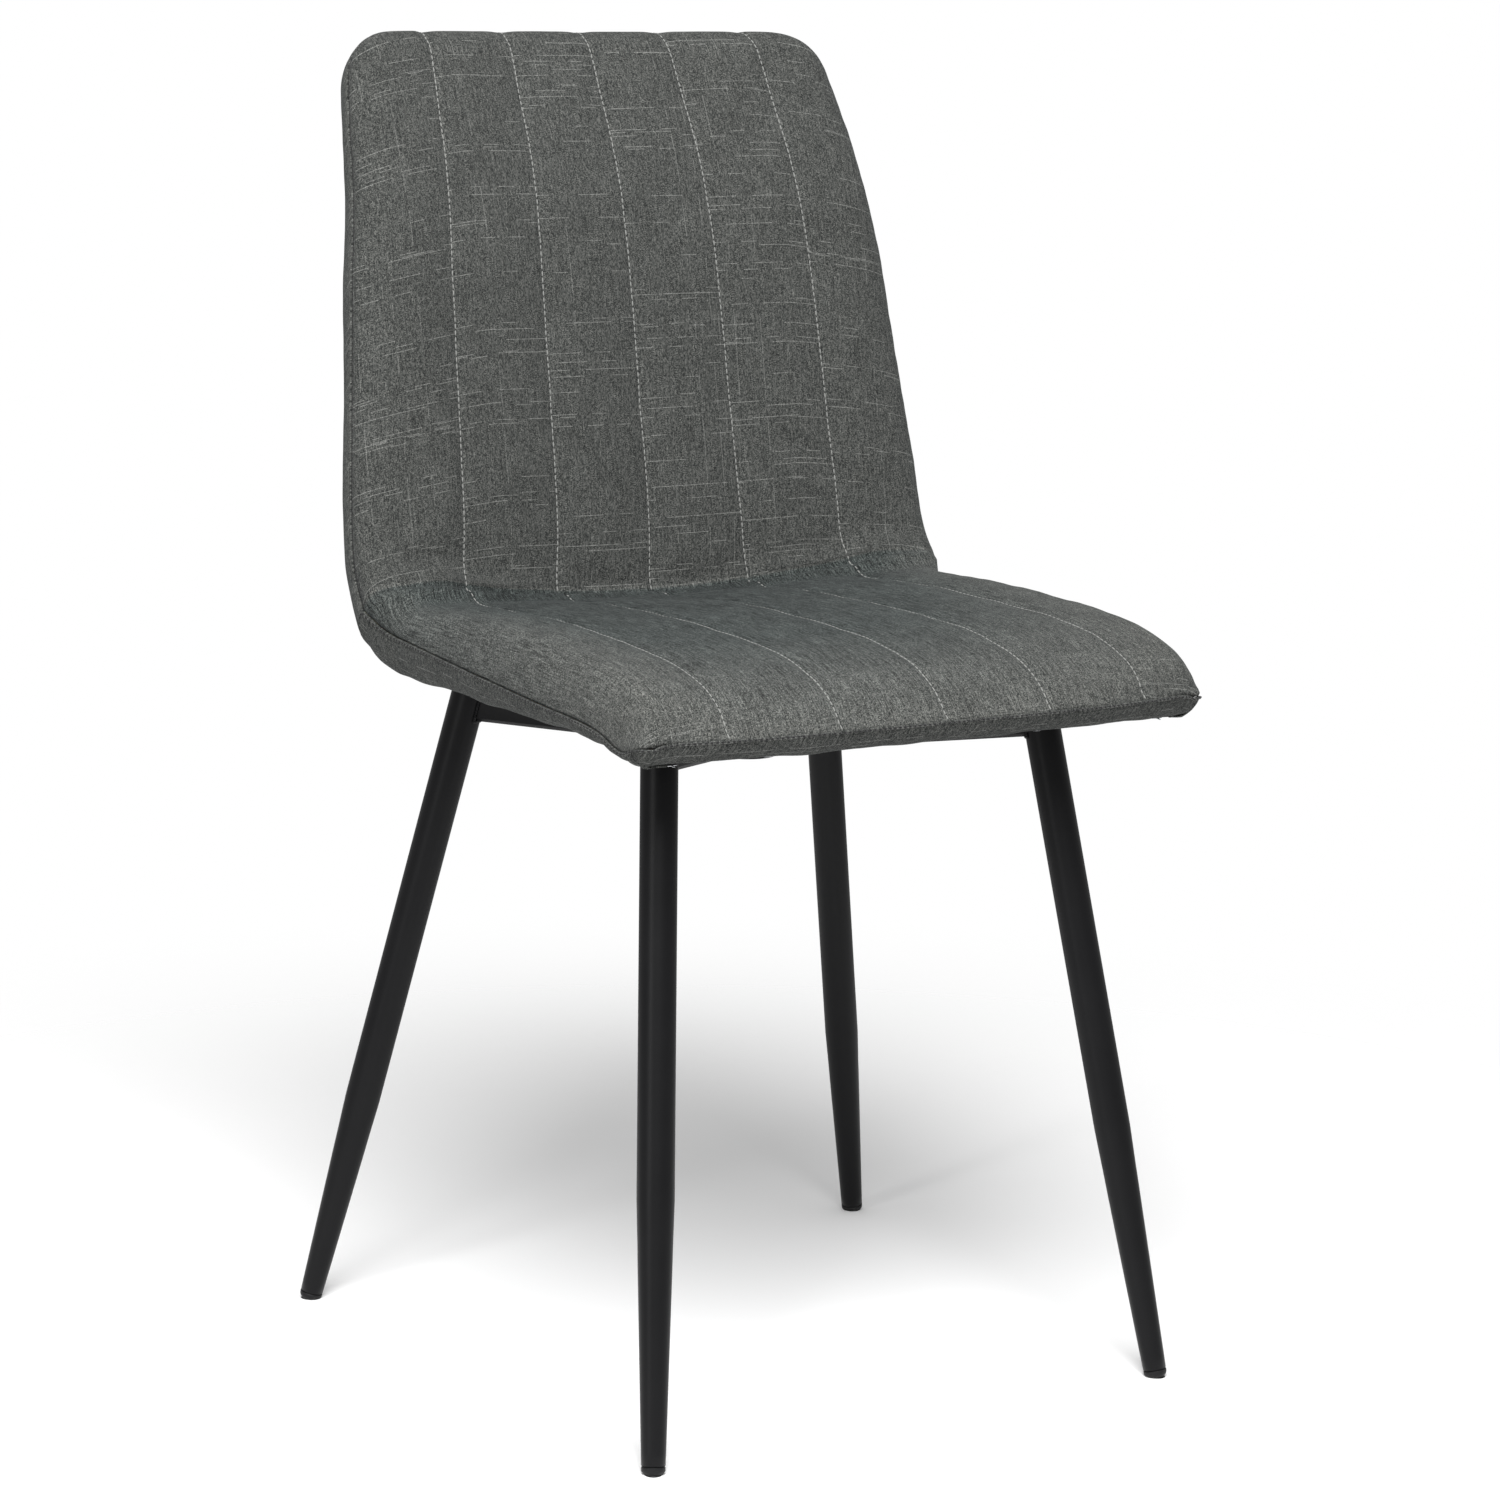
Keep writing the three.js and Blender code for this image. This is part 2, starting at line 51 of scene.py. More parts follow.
# ----- sizes of the padded shell
SEAT_FRONT, SEAM_HEIGHT, LIP_LENGTH = -254, 468, 99
UNDERSIDE, SEAT_TOP, SEAT_REAR = 457, 511, 80
BEND_RADIUS, BACK_THICKNESS = 90, 48
LOW, HIGH = math.radians(10.5), math.radians(27.5)  # recline below and above the roll
LOWER_BACK, ROLL_RADIUS, UPPER_BACK, EDGE_RADIUS = 191, 290, 50, 24
SIDE_RADIUS, FRONT_CORNER, TOP_CORNER = 21, 11, 36
FABRIC, HEM, GAP = 1.6, 24, 0.3
SIDE_REACH, FRONT_REACH = 16, 10  # how far the edge of the seat rounds under
COVER_SPLIT, PLY_FRONT, PLY_MARGIN = 2.5, 0.13, 16
LINING_FRONT, LINING_MARGIN = 0.16, 22
CORNER_SETBACK = 18  # the front edge curves back this much towards its corners

# at the stations: front seam, end of lip, rear of seat, end of bend, start and end of roll,
# start of top edge, top edge
HALF_WIDTH = [215, 217, 219, 229, 211, 198, 190, 188]
BOW = [0, 0, 1e-4, 2.4e-4, 2.4e-4, 2.8e-4, 4e-4, 4.5e-4]
LIFT = [0, 0, 1.2e-4, 1.5e-4, 0, 0, 0, 0]
SEAM_DEPTH = [15.5, 14, 28, 30, 32, 33, 33, 33]
PLY_DEPTH = [3, 3, 3, 7, 7, 7, 7, 7]
LINE_SPACE = [78.9, 78.5, 77, 76, 72.4, 68.4, 66.3, 65.5]  # between the rows of topstitching

PAD_DROP = 1.5  # stitched rows lie this much below the full padding
ROW_SPACE = 74  # usual distance between the rows
STITCH_PITCH = 4.5
SEAM_PITCH = 3.7


# ----- the shell's surfaces
def unit(value):
    return np.clip(value, 0, 1)


def eased(value, low, high):
    t = unit((value - low) / (high - low))
    return t * t * (3 - 2 * t)


def bell(gap, width):
    return np.exp(-(gap / width) ** 2)


def bezier(t, *points):
    layer = [np.asarray(p, float) + 0 * t[:, None] for p in points]
    while len(layer) > 1:
        layer = [a + (b - a) * t[:, None] for a, b in zip(layer, layer[1:])]
    return layer[0]


def arc(t, centre, radius, start, end):
    turn = start + (end - start) * t
    return np.asarray(centre) + radius * np.stack([np.cos(turn), np.sin(turn)], 1)


def step_from(origin, angle, distance):
    return np.asarray(origin) + distance * np.array([math.cos(angle), math.sin(angle)])


def profile_curves():
    """Rear and front profiles in (y, z), as one function of 0..1 for each of the seven stretches."""
    quarter, half = math.pi / 2, math.pi
    bend = (SEAT_REAR, UNDERSIDE + BEND_RADIUS)
    bend_end = step_from(bend, -LOW, BEND_RADIUS)
    roll_start = step_from(bend_end, quarter - LOW, LOWER_BACK)
    roll = step_from(roll_start, -LOW, ROLL_RADIUS)
    roll_end = step_from(roll, half - HIGH, ROLL_RADIUS)
    edge = step_from(roll_end, quarter - HIGH, UPPER_BACK)
    top = step_from(edge, quarter - HIGH, EDGE_RADIUS)
    lip = SEAT_FRONT + 5 + LIP_LENGTH
    rear = [
        lambda t: bezier(t, (SEAT_FRONT + 5, UNDERSIDE - 8), (SEAT_FRONT + 45, UNDERSIDE), (lip, UNDERSIDE)),
        lambda t: bezier(t, (lip, UNDERSIDE), (SEAT_REAR, UNDERSIDE)),
        lambda t: arc(t, bend, BEND_RADIUS, -quarter, -LOW),
        lambda t: bezier(t, bend_end, roll_start),
        lambda t: arc(t, roll, ROLL_RADIUS, half - LOW, half - HIGH),
        lambda t: bezier(t, roll_end, edge),
        lambda t: bezier(t, edge, top),
    ]
    out = [step_from(p, half - a, BACK_THICKNESS)
           for p, a in ((bend_end, LOW), (roll_start, LOW), (roll_end, HIGH), (edge, HIGH), (top, HIGH))]
    lip_top, seat_end, crease = (lip, SEAT_TOP - 1.5), (SEAT_REAR, SEAT_TOP - 8.5), (117, SEAT_TOP - 14.5)
    front = [
        lambda t: bezier(t, (SEAT_FRONT, SEAM_HEIGHT), (-245, 491), (-212, SEAT_TOP - 5), lip_top),
        lambda t: bezier(t, lip_top, (-80, SEAT_TOP + 2), (20, SEAT_TOP), seat_end),
        lambda t: bezier(t, seat_end, crease, crease, out[0]),
        lambda t: bezier(t, out[0], out[1]),
        lambda t: arc(t, roll, ROLL_RADIUS + BACK_THICKNESS, half - LOW, half - HIGH),
        lambda t: bezier(t, out[2], out[3]),
        lambda t: bezier(t, out[3], out[4]),
    ]
    return rear, front


STEP = 0.005
PLACES = np.arange(0, 7 + STEP / 2, STEP)


def softened(values, width):
    """Running average with a bell-shaped weight, width in stations, that keeps both end values."""
    reach = int(3 * width / STEP)
    weight = np.exp(-0.5 * (np.arange(-reach, reach + 1) * STEP / width) ** 2)
    before = 2 * values[0] - values[reach:0:-1]
    after = 2 * values[-1] - values[-2:-reach - 2:-1]
    return np.convolve(np.concatenate([before, values, after]), weight / weight.sum(), "valid")


def table(knots):
    return softened(np.interp(PLACES, range(8), knots), 0.12)


def profile_table(curves, width):
    index = np.minimum(PLACES.astype(int), 6)
    points = np.zeros((len(PLACES), 2))
    for i, curve in enumerate(curves):
        points[index == i] = curve(PLACES[index == i] - i)
    return np.stack([softened(points[:, k], width) for k in (0, 1)], 1)


REAR, FRONT = (profile_table(curves, 0.03) for curves in profile_curves())
WIDTHS, BOWS, LIFTS, SEAMS, PLIES, SPACES = (
    table(k) for k in (HALF_WIDTH, BOW, LIFT, SEAM_DEPTH, PLY_DEPTH, LINE_SPACE))
THICK = np.linalg.norm(FRONT - REAR, axis=1)
ARC = np.concatenate([[0], np.cumsum(np.linalg.norm(np.diff(FRONT, axis=0), axis=1))])


def at(values, place):
    return np.interp(place, PLACES, values)


def corner_loss(radius, distance):
    inside = np.clip(radius - distance, 0, radius)
    return radius - np.sqrt(radius * radius - inside * inside)


def half_width(place):
    from_top = np.where(place > 6, (7 - place) * EDGE_RADIUS, EDGE_RADIUS + (6 - place) * UPPER_BACK)
    full = at(WIDTHS, place) + 5 * bell(place - 2.45, 0.28)
    return full - corner_loss(FRONT_CORNER, place * LIP_LENGTH) - corner_loss(TOP_CORNER, from_top)


def seam_depth(place):
    return np.minimum(at(SEAMS, place), 0.8 * at(THICK, place)) - 5 * bell(place - 0.4, 0.26)


def bolster(x, place):
    """Extra padding beside the middle, fullest where the seat turns up into the back."""
    side = abs(x)
    share = eased(side, 20, 150) * (1 - eased(side, 165, 214))
    seat = 3 * eased(place, 1.6, 2.4) * (1 - eased(place, 2.6, 3.0))
    full = 4.5 * eased(place, 2.6, 3.1) + seat + 5.5 * bell(place - 2.6, 0.2)
    return share * full + 4.5 * bell(place - 2.28, 0.14)


def shell_point(x, place, depth):
    """Points at a sideways place, a station and a depth above the rear face."""
    share = depth / at(THICK, place)
    rear = [at(REAR[:, k], place) for k in (0, 1)]
    front = [at(FRONT[:, k], place) for k in (0, 1)]
    sag = (4 * eased(abs(x), 165, 212) * bell(place - 0.4, 0.3) - 2.5 * bell(place, 0.15)) * (1 - unit(share))
    setback = CORNER_SETBACK * (x / HALF_WIDTH[0]) ** 4 * bell(place, 0.35)
    y = rear[0] + share * (front[0] - rear[0]) - at(BOWS, place) * x * x + setback
    z = rear[1] + share * (front[1] - rear[1] + at(LIFTS, place) * x * x) - sag
    return np.stack([x, y + SET_BACK, z], -1)


def over_top(station, inset):
    """Angle round the top edge, and the station along the profile that it stands for."""
    over = unit(station - 6) * math.pi / 2
    return over, np.where(station > 6, 6 + np.sin(over) * (1 - inset / EDGE_RADIUS), station)


CREASE = 2.5  # station of the fold between seat and back
ROWS = [-3, -2.5, -2, -1, 0, 1, 2, 2.5, 3]  # seams, edges and sewn rows
ROW_DRIFT = [0, 0, 4, 4.5, 2.5, -1, 0, 0, 0]  # sewn rows wander this far sideways on the back


def face(across, station, inset, rear=False):
    """across is -3..3: within 2 the rows of topstitching, from 2 to 2.5 flat, then round the edge."""
    over, place = over_top(station, inset)
    half = half_width(place) - inset
    radius = SIDE_RADIUS - inset
    flat = half - radius
    line = np.minimum(at(SPACES, place), (flat - 3) / 2)
    size = abs(across)
    outer = unit((size - 2) * 2)
    turn = unit((size - 2.5) * 2) * math.pi / 2
    x = np.where(size <= 2, size * line, 2 * line + outer * (flat - 2 * line)) + radius * np.sin(turn)
    fall = unit(np.cos(turn) * np.cos(over))
    seam = seam_depth(place)
    if rear:
        seam = seam - 2 * GAP
        return shell_point(np.sign(across) * x, place, seam - (seam - inset) * fall)
    depth = seam + (at(THICK, place) + bolster(x, place) - inset - seam) * fall
    drift = np.interp(across, ROWS, ROW_DRIFT) * eased(place, 2.6, 3.2)
    # at its sides the cover spans the corner between seat and back
    span = 15 * eased(x, 120, 205) * bell(at(ARC, place) - at(ARC, CREASE), 26) * np.sqrt(fall)
    return shell_point(np.sign(across) * x + drift, place, depth) + span[..., None] * np.array([0, -0.7, 0.7])


def inner(across, station, margin, depth):
    """A plain sheet inside the shell, drawn in from its edges by margin."""
    place = np.where(station > 6, 6 + (station - 6) * (1 - margin / EDGE_RADIUS), station)
    return shell_point(across / 3 * (half_width(place) - margin), place, depth(place))


# ----- mesh helpers
def wobble(points, size, seed):
    """Smooth, repeatable unevenness of about -1..1, from a few waves of the given size in mm."""
    pick = np.random.default_rng(seed)
    total = np.zeros(points.shape[:-1])
    for _ in range(9):
        way = pick.normal(size=3)
        way *= 2 * math.pi / size * pick.uniform(0.6, 1.5) / np.linalg.norm(way)
        total += np.sin(points @ way + pick.uniform(0, 2 * math.pi))
    return total / 3


def grid_normals(points):
    along = np.gradient(points, axis=0)
    across = np.gradient(points, axis=1)
    normal = np.cross(across, along)
    return normal / np.maximum(np.linalg.norm(normal, axis=-1, keepdims=True), 1e-9)


def grid_faces(rows, columns, wrap=False):
    r = np.arange(rows - 1)[:, None]
    c = np.arange(columns if wrap else columns - 1)[None, :]
    right = (c + 1) % columns
    quads = [r * columns + c, r * columns + right, (r + 1) * columns + right, (r + 1) * columns + c]
    return np.stack([q + 0 * (r + c) for q in quads], -1).reshape(-1, 4)


def lengths(points, axis):
    """Running length along a grid's lines, in mm."""
    step = np.linalg.norm(np.diff(points, axis=axis), axis=-1)
    pad = [(0, 0), (0, 0)]
    pad[axis] = (1, 0)
    return np.cumsum(np.pad(step, pad), axis=axis)


def placed(name, data):
    obj = bpy.data.objects.new(name, data)
    scene.collection.objects.link(obj)
    return obj


def to_mesh(name, points, faces, uv=None):
    """A mesh from faces and points in mm, with an optional map in mm, one place for each point."""
    mesh = bpy.data.meshes.new(name)
    mesh.from_pydata((np.asarray(points).reshape(-1, 3) * MM).tolist(), [], [list(f) for f in faces])
    mesh.polygons.foreach_set("use_smooth", np.ones(len(mesh.polygons), bool))
    if uv is not None:
        corner = np.zeros(len(mesh.loops), np.int32)
        mesh.loops.foreach_get("vertex_index", corner)
        layer = mesh.uv_layers.new(name="cloth")
        layer.data.foreach_set("uv", (uv.reshape(-1, 2)[corner] * MM).ravel())
    mesh.update()
    return placed(name, mesh)


def slab(name, lower, upper, uv=None, flip=False):
    """A closed body between two grids of the same size: both of them, and the rim between them."""
    rows, columns = lower.shape[:2]
    count = rows * columns
    top = grid_faces(rows, columns)
    r, c = np.arange(rows - 1), np.arange(columns - 1)
    rim = np.concatenate([c, r * columns + columns - 1, count - 1 - c, (rows - 1 - r) * columns])
    after = np.roll(rim, -1)
    walls = np.stack([rim, rim + count, after + count, after], -1)
    faces = np.concatenate([top, top[:, ::-1] + count, walls])
    if flip:
        faces = faces[:, ::-1]
    return to_mesh(name, np.concatenate([upper.reshape(-1, 3), lower.reshape(-1, 3)]), faces, uv)


def cloth_sheet(name, points, uv, thickness=FABRIC, flip=False):
    """A closed sheet under a grid of points."""
    under = points - grid_normals(points) * (-thickness if flip else thickness)
    return slab(name, under, points, np.concatenate([uv.reshape(-1, 2)] * 2), flip)


def spun(axis, count):
    """Directions at even steps all round an axis."""
    side = np.cross(axis, (0, 1, 0) if abs(axis[1]) < 0.9 else (1, 0, 0))
    side /= np.linalg.norm(side)
    turn = np.arange(count) / count * 2 * math.pi
    return np.cos(turn)[:, None] * side + np.sin(turn)[:, None] * np.cross(axis, side)


def lathe(name, profile, foot, axis=(0, 0, 1), segments=48):
    """A turned piece from (radius, height) pairs, spun about an axis. A zero radius closes the end."""
    axis = np.asarray(axis, float)
    ring = spun(axis, segments)
    points = np.concatenate([np.asarray(foot) + axis * h + ring * max(r, 0.01) for r, h in profile])
    faces = [list(f) for f in grid_faces(len(profile), segments, wrap=True)]
    if profile[0] != profile[-1]:
        last = (len(profile) - 1) * segments
        faces += [list(range(segments))[::-1], [last + i for i in range(segments)]]
    obj = to_mesh(name, points, faces)
    clean(obj)
    return obj


def clean(obj, distance=0.02, sharp=None):
    """Merges doubles and turns every face outwards."""
    made = bmesh.new()
    made.from_mesh(obj.data)
    bmesh.ops.remove_doubles(made, verts=made.verts, dist=distance * MM)
    bmesh.ops.dissolve_degenerate(made, edges=made.edges, dist=1e-7)
    if sharp:
        bmesh.ops.dissolve_limit(made, angle_limit=math.radians(sharp), verts=made.verts, edges=made.edges)
    bmesh.ops.recalc_face_normals(made, faces=made.faces)
    made.to_mesh(obj.data)
    made.free()
    obj.data.update()


def apply_modifiers(obj):
    """Turns the evaluated object into a plain mesh."""
    evaluated = obj.evaluated_get(bpy.context.evaluated_depsgraph_get())
    mesh = bpy.data.meshes.new_from_object(evaluated)
    obj.modifiers.clear()
    obj.data = mesh
    return obj


def sharpened(obj, angle=35):
    """Smooth faces that keep a hard line wherever they meet at more than the angle."""
    obj.data.polygons.foreach_set("use_smooth", np.ones(len(obj.data.polygons), bool))
    obj.data.set_sharp_from_angle(angle=math.radians(angle))
    return obj


def from_cad(node, name, bevel):
    """A copy of a CAD piece with its edges broken."""
    obj = placed(name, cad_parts[node].data.copy())
    obj.data.materials.clear()
    clean(obj, 0.01, sharp=2)
    edge = obj.modifiers.new("edge", "BEVEL")
    edge.width = bevel * MM
    edge.segments = 2
    edge.limit_method = "ANGLE"
    edge.angle_limit = math.radians(28)
    return sharpened(apply_modifiers(obj))


# ----- finishes
def operator(operation, swapped=False):
    def work(self, *other):
        values = (*other, self) if swapped else (self, *other)
        return self.finish.make("ShaderNodeMath", {"operation": operation}, dict(enumerate(values)))
    return work


class Wire:
    """A value in a shader tree. Sums and products on it add the nodes that work them out."""

    def __init__(self, finish, socket):
        self.finish, self.socket = finish, socket

    __add__, __radd__ = operator("ADD"), operator("ADD", True)
    __sub__, __rsub__ = operator("SUBTRACT"), operator("SUBTRACT", True)
    __mul__, __rmul__ = operator("MULTIPLY"), operator("MULTIPLY", True)
    __truediv__, __rtruediv__ = operator("DIVIDE"), operator("DIVIDE", True)
    __pow__, __mod__, __gt__ = operator("POWER"), operator("FLOORED_MODULO"), operator("GREATER_THAN")
    __abs__, floor, fraction = operator("ABSOLUTE"), operator("FLOOR"), operator("FRACT")

    def between(self, low, high):
        """Rises smoothly from 0 at low to 1 at high."""
        return self.finish.make("ShaderNodeMapRange", {"interpolation_type": "SMOOTHSTEP"}, {
            "Value": self, "From Min": low, "From Max": high})


class Nodes:
    """A node tree, with one method that adds a node, sets it up and feeds its inputs."""

    def __init__(self, tree):
        self.tree = tree

    def add(self, kind, settings=None, values=None):
        node = self.tree.nodes.new(kind)
        for key, value in (settings or {}).items():
            setattr(node, key, value)
        for key, value in (values or {}).items():
            self.feed(node.inputs[key], value)
        return node.outputs

    def feed(self, socket, value):
        value = getattr(value, "socket", value)
        if isinstance(value, bpy.types.NodeSocket):
            self.tree.links.new(value, socket)
        else:
            is_colour = isinstance(value, tuple) and len(value) == 3 and len(socket.default_value) == 4
            socket.default_value = (*value, 1) if is_colour else value


class Finish(Nodes):
    """A material with one Principled surface. Uniform values go straight on its sockets."""

    def __init__(self, name, **uniform):
        self.material = bpy.data.materials.new(name)
        self.material.use_nodes = True
        super().__init__(self.material.node_tree)
        self.surface = self.tree.nodes["Principled BSDF"]
        for key, value in uniform.items():
            self.surface.inputs[key.replace("_", " ").title().replace("Ior", "IOR")].default_value = value

    def make(self, kind, settings=None, values=None, output=0):
        return Wire(self, self.add(kind, settings, values)[output])

    def set(self, **wires):
        """Feeds the surface's sockets and gives the material back."""
        for key, value in wires.items():
            self.feed(self.surface.inputs[key.replace("_", " ").title()], value)
        return self.material

    def object_place(self):
        return self.make("ShaderNodeTexCoord", output="Object")

    def cloth_place(self):
        """The cloth's own map, in mm."""
        place = self.parts(self.make("ShaderNodeUVMap", {"uv_map": "cloth"}))
        return place[0] * 1000, place[1] * 1000

    def attribute(self, name):
        return self.make("ShaderNodeAttribute", {"attribute_name": name}, output="Fac")

    def parts(self, vector):
        return [Wire(self, socket) for socket in self.add("ShaderNodeSeparateXYZ", None, {0: vector})]

    def joined(self, x, y, z=0.0):
        return self.make("ShaderNodeCombineXYZ", values={0: x, 1: y, 2: z})

    def noise(self, vector, scale, detail=2.0, rough=0.5):
        return self.make("ShaderNodeTexNoise", None, {
            "Vector": vector, "Scale": scale, "Detail": detail, "Roughness": rough})

    def grain(self, x, y, z=0.0, detail=2.0, rough=0.5):
        return self.noise(self.joined(x, y, z), 1.0, detail, rough)

    def chance(self, x, y, z=0.0):
        """One random value for each whole-numbered place."""
        place = self.joined(x, y, z)
        return self.make("ShaderNodeTexWhiteNoise", {"noise_dimensions": "3D"}, {"Vector": place})

    def ramp(self, value, *stops):
        ramp = self.make("ShaderNodeValToRGB", values={0: value})
        elements = ramp.socket.node.color_ramp.elements
        while len(elements) < len(stops):
            elements.new(0.5)
        for element, (place, colour) in zip(elements, stops):
            element.position, element.color = place, (*colour, 1)
        return ramp

    def blend(self, share, first, second, mode="MIX"):
        settings = {"data_type": "RGBA", "blend_type": mode}
        return self.make("ShaderNodeMix", settings, {0: share, 6: first, 7: second}, 2)

    def bump(self, height, distance, strength, normal=None):
        values = {"Height": height, "Distance": distance * MM, "Strength": strength}
        if normal is not None:
            values["Normal"] = normal
        return self.make("ShaderNodeBump", None, values)


def slubs(f, along, across, chance, seed, panel=0.0):
    """Thick pale yarn that shows as dotted dashes: rows 0.9 mm apart, dots 1.2 mm apart."""
    row = (across / 0.9).floor()
    body = 1 - abs((across / 0.9).fraction() * 2 - 1)
    pick = f.chance(row, panel, seed)
    dash = f.chance((along / 12 + pick * 400).floor(), row, panel + seed) > 0.55
    dot = f.chance((along / 1.2).floor(), row, seed + 1)
    gap = 1 - abs((along / 1.2).fraction() * 2 - 1)
    return (pick > 1 - chance) * dash * (0.3 + dot * 0.7) * gap.between(0.0, 0.45) * body.between(0.25, 0.7)


YARN = 0.70  # width of one yarn


def upholstery(name, quilted=False):
    """Linen-look melange: two-tone yarns in a plain weave, cloudy streaks and pale slubs."""
    f = Finish(name, sheen_weight=0.05, sheen_roughness=0.4, sheen_tint=(0.85, 0.90, 0.93, 1),
               specular_ior_level=0.1)
    u, v = f.cloth_place()
    warp, weft = u / YARN, v / YARN
    column, row = warp.floor(), weft.floor()
    over = (column + row) % 2
    round_warp = 1 - (warp.fraction() * 2 - 1) ** 2
    round_weft = 1 - (weft.fraction() * 2 - 1) ** 2
    warp_tone = f.chance(column, (weft / 2.2 + f.chance(column, 3.0) * 9).floor(), 1.0)
    weft_tone = f.chance((warp / 1.2 + f.chance(row, 5.0) * 9).floor(), row, 2.0)
    tone = over * warp_tone + (1 - over) * weft_tone
    relief = over * round_warp + (1 - over) * round_weft
    colour = f.ramp(tone, (0.0, (0.014, 0.0152, 0.0147)), (0.25, (0.032, 0.0336, 0.0322)),
                    (0.5, (0.055, 0.0568, 0.0540)), (0.8, (0.076, 0.0775, 0.0735)),
                    (1.0, (0.120, 0.121, 0.114)))
    streak = f.grain(u / 0.9, v / 24, 0.0, 1.0, 0.6)
    coarse = f.grain(u / 1.9, v / 13, 2.0, 2.0, 0.6)
    bars = f.grain(u / 14, v / 0.9, 0.0, 1.0, 0.6)
    cloud = f.grain(u / 40, v / 55)
    fleck = f.grain(u / 0.75, v / 0.95, 4.0, 0.0)
    shade = streak * 1.15 + coarse * 0.55 + bars * 0.18 + cloud * 0.30 + fleck * 0.62 - 0.40
    panel = f.attribute("panel").floor() if quilted else 0.0
    pale = slubs(f, u, v, 0.095, 11.0, panel) + slubs(f, v, u, 0.025, 23.0) * 0.7
    tint, contrast = (0.74, 0.745, 0.74), 1.0
    if quilted:
        # On the seat the cloth's colour carries painted light and shade: a painted highlight on the lip by
        # the front seam, painted shade deepening towards the fold into the back, and a painted bluish sheen.
        # The same mask also raises the contrast of the streaks and thins out the slubs.
        seat_shade_mask = f.attribute("seat")
        pale = pale * (1 - seat_shade_mask.between(0.05, 0.25) * 0.75)
        contrast = 1 + seat_shade_mask.between(0.0, 0.9) * 2.2
        # tint stops: painted highlight near 0.18, painted shade with a painted bluish sheen from 0.55 up to
        # 1.0
        tint = f.ramp(seat_shade_mask, (0.0, tint), (0.18, (0.98, 0.98, 0.965)), (0.35, (0.86, 0.875, 0.87)),
                      (0.55, (0.57, 0.63, 0.635)), (1.0, (0.37, 0.415, 0.42)))
    shade = ((shade - 1) * contrast + 1) * 1.41
    colour = f.blend(1.0, colour, f.joined(shade, shade, shade), "MULTIPLY")
    colour = f.blend(1.0, colour, tint, "MULTIPLY")
    colour = f.blend(pale * 0.95, colour, (0.26, 0.263, 0.25))
    fine = f.bump(relief, 0.16, 0.75)
    fibre = f.grain(u * 2.1, v * 2.1)
    return f.set(base_color=colour, roughness=0.80 + relief * 0.12,
                 normal=f.bump(pale + fibre * 0.3, 0.22, 0.6, fine))


def thread(name, colour, pale):
    """Twisted sewing thread."""
    f = Finish(name, sheen_weight=0.2, specular_ior_level=0.4)
    x, y, z = f.parts(f.object_place())
    twist = ((x + y * 0.6 + z) * 2600).fraction()
    strand = 1 - abs(twist * 2 - 1)
    fuzz = f.noise(f.object_place(), 2400.0)
    return f.set(base_color=f.blend(strand * 0.5 + fuzz * 0.4, colour, pale), roughness=0.72 + fuzz * 0.2,
                 normal=f.bump(strand, 0.12, 0.6))


def lining():
    """Black spun-bonded lining with its grid of heat-bonded dots."""
    f = Finish("black_lining", specular_ior_level=0.3)
    u, v = f.cloth_place()
    row = (v / 1.4).floor()
    dot_u = ((u / 1.4 + (row % 2) * 0.5).fraction() - 0.5) * 2
    dot_v = ((v / 1.4).fraction() - 0.5) * 2
    dot = 1 - (dot_u * dot_u + dot_v * dot_v).between(0.15, 0.6)
    fibre = f.noise(f.joined(u, v), 1.3, 6.0, 0.75)
    crease = f.grain(u / 40, v / 25, 0.0, 3.0)
    colour = f.ramp(fibre, (0.3, (0.007, 0.007, 0.008)), (0.75, (0.030, 0.030, 0.032)))
    return f.set(base_color=f.blend(dot * 0.6, colour, (0.009, 0.009, 0.010)), roughness=0.88 - dot * 0.3,
                 normal=f.bump(fibre * 0.5 - dot + crease * 2, 0.2, 0.7))


def foam():
    """Open-cell upholstery foam."""
    f = Finish("cut_foam", subsurface_weight=0.1, specular_ior_level=0.2)
    place = f.object_place()
    cells = f.make("ShaderNodeTexVoronoi", None, {"Vector": place, "Scale": 900.0})
    cloud = f.noise(place, 14.0, 3.0)
    tone = cells * 0.5 + cloud * 0.5
    return f.set(base_color=f.ramp(tone, (0.2, (0.50, 0.44, 0.27)), (0.7, (0.72, 0.67, 0.48))),
                 roughness=0.86 + cells * 0.1, normal=f.bump(cells, 0.4, 0.8))


def plywood():
    """Bent beech plywood with long grain and pores."""
    f = Finish("bent_plywood", specular_ior_level=0.35)
    x, y, z = f.parts(f.object_place())
    grain = f.grain(x * 220, y * 9, z * 9, 5.0, 0.65)
    pores = f.grain(x * 1500, y * 60, z * 60)
    figure = f.grain(x * 30, y * 3, z * 3)
    tone = grain * 0.6 + figure * 0.4
    colour = f.ramp(tone, (0.3, (0.36, 0.20, 0.085)), (0.55, (0.55, 0.34, 0.15)), (0.8, (0.68, 0.46, 0.24)))
    return f.set(base_color=colour, roughness=0.6 + grain * 0.2, normal=f.bump(pores + grain, 0.15, 0.5))


def powder_coat(name="black_powder_coat", lumpy=0.0):
    """Fine matt black powder coat: slight orange peel, a little dust and burnish."""
    f = Finish(name, specular_ior_level=0.15)
    place = f.object_place()
    peel = f.noise(place, 620.0)
    grit = f.noise(place, 2600.0, 2.0, 0.6)
    cloud = f.noise(place, 18.0, 4.0, 0.6)
    tone = cloud * 0.6 + grit * 0.4
    f.set(base_color=f.ramp(tone, (0.30, (0.0040, 0.0040, 0.0045)), (0.72, (0.0060, 0.0060, 0.0066))),
          roughness=0.30 + cloud * 0.12 + grit * 0.08)
    coat = f.bump(peel + grit * 0.5, 0.05, 0.55)
    if lumpy:
        coat = f.bump(f.noise(place, 300.0), lumpy, 0.6, coat)
    return f.set(normal=coat)


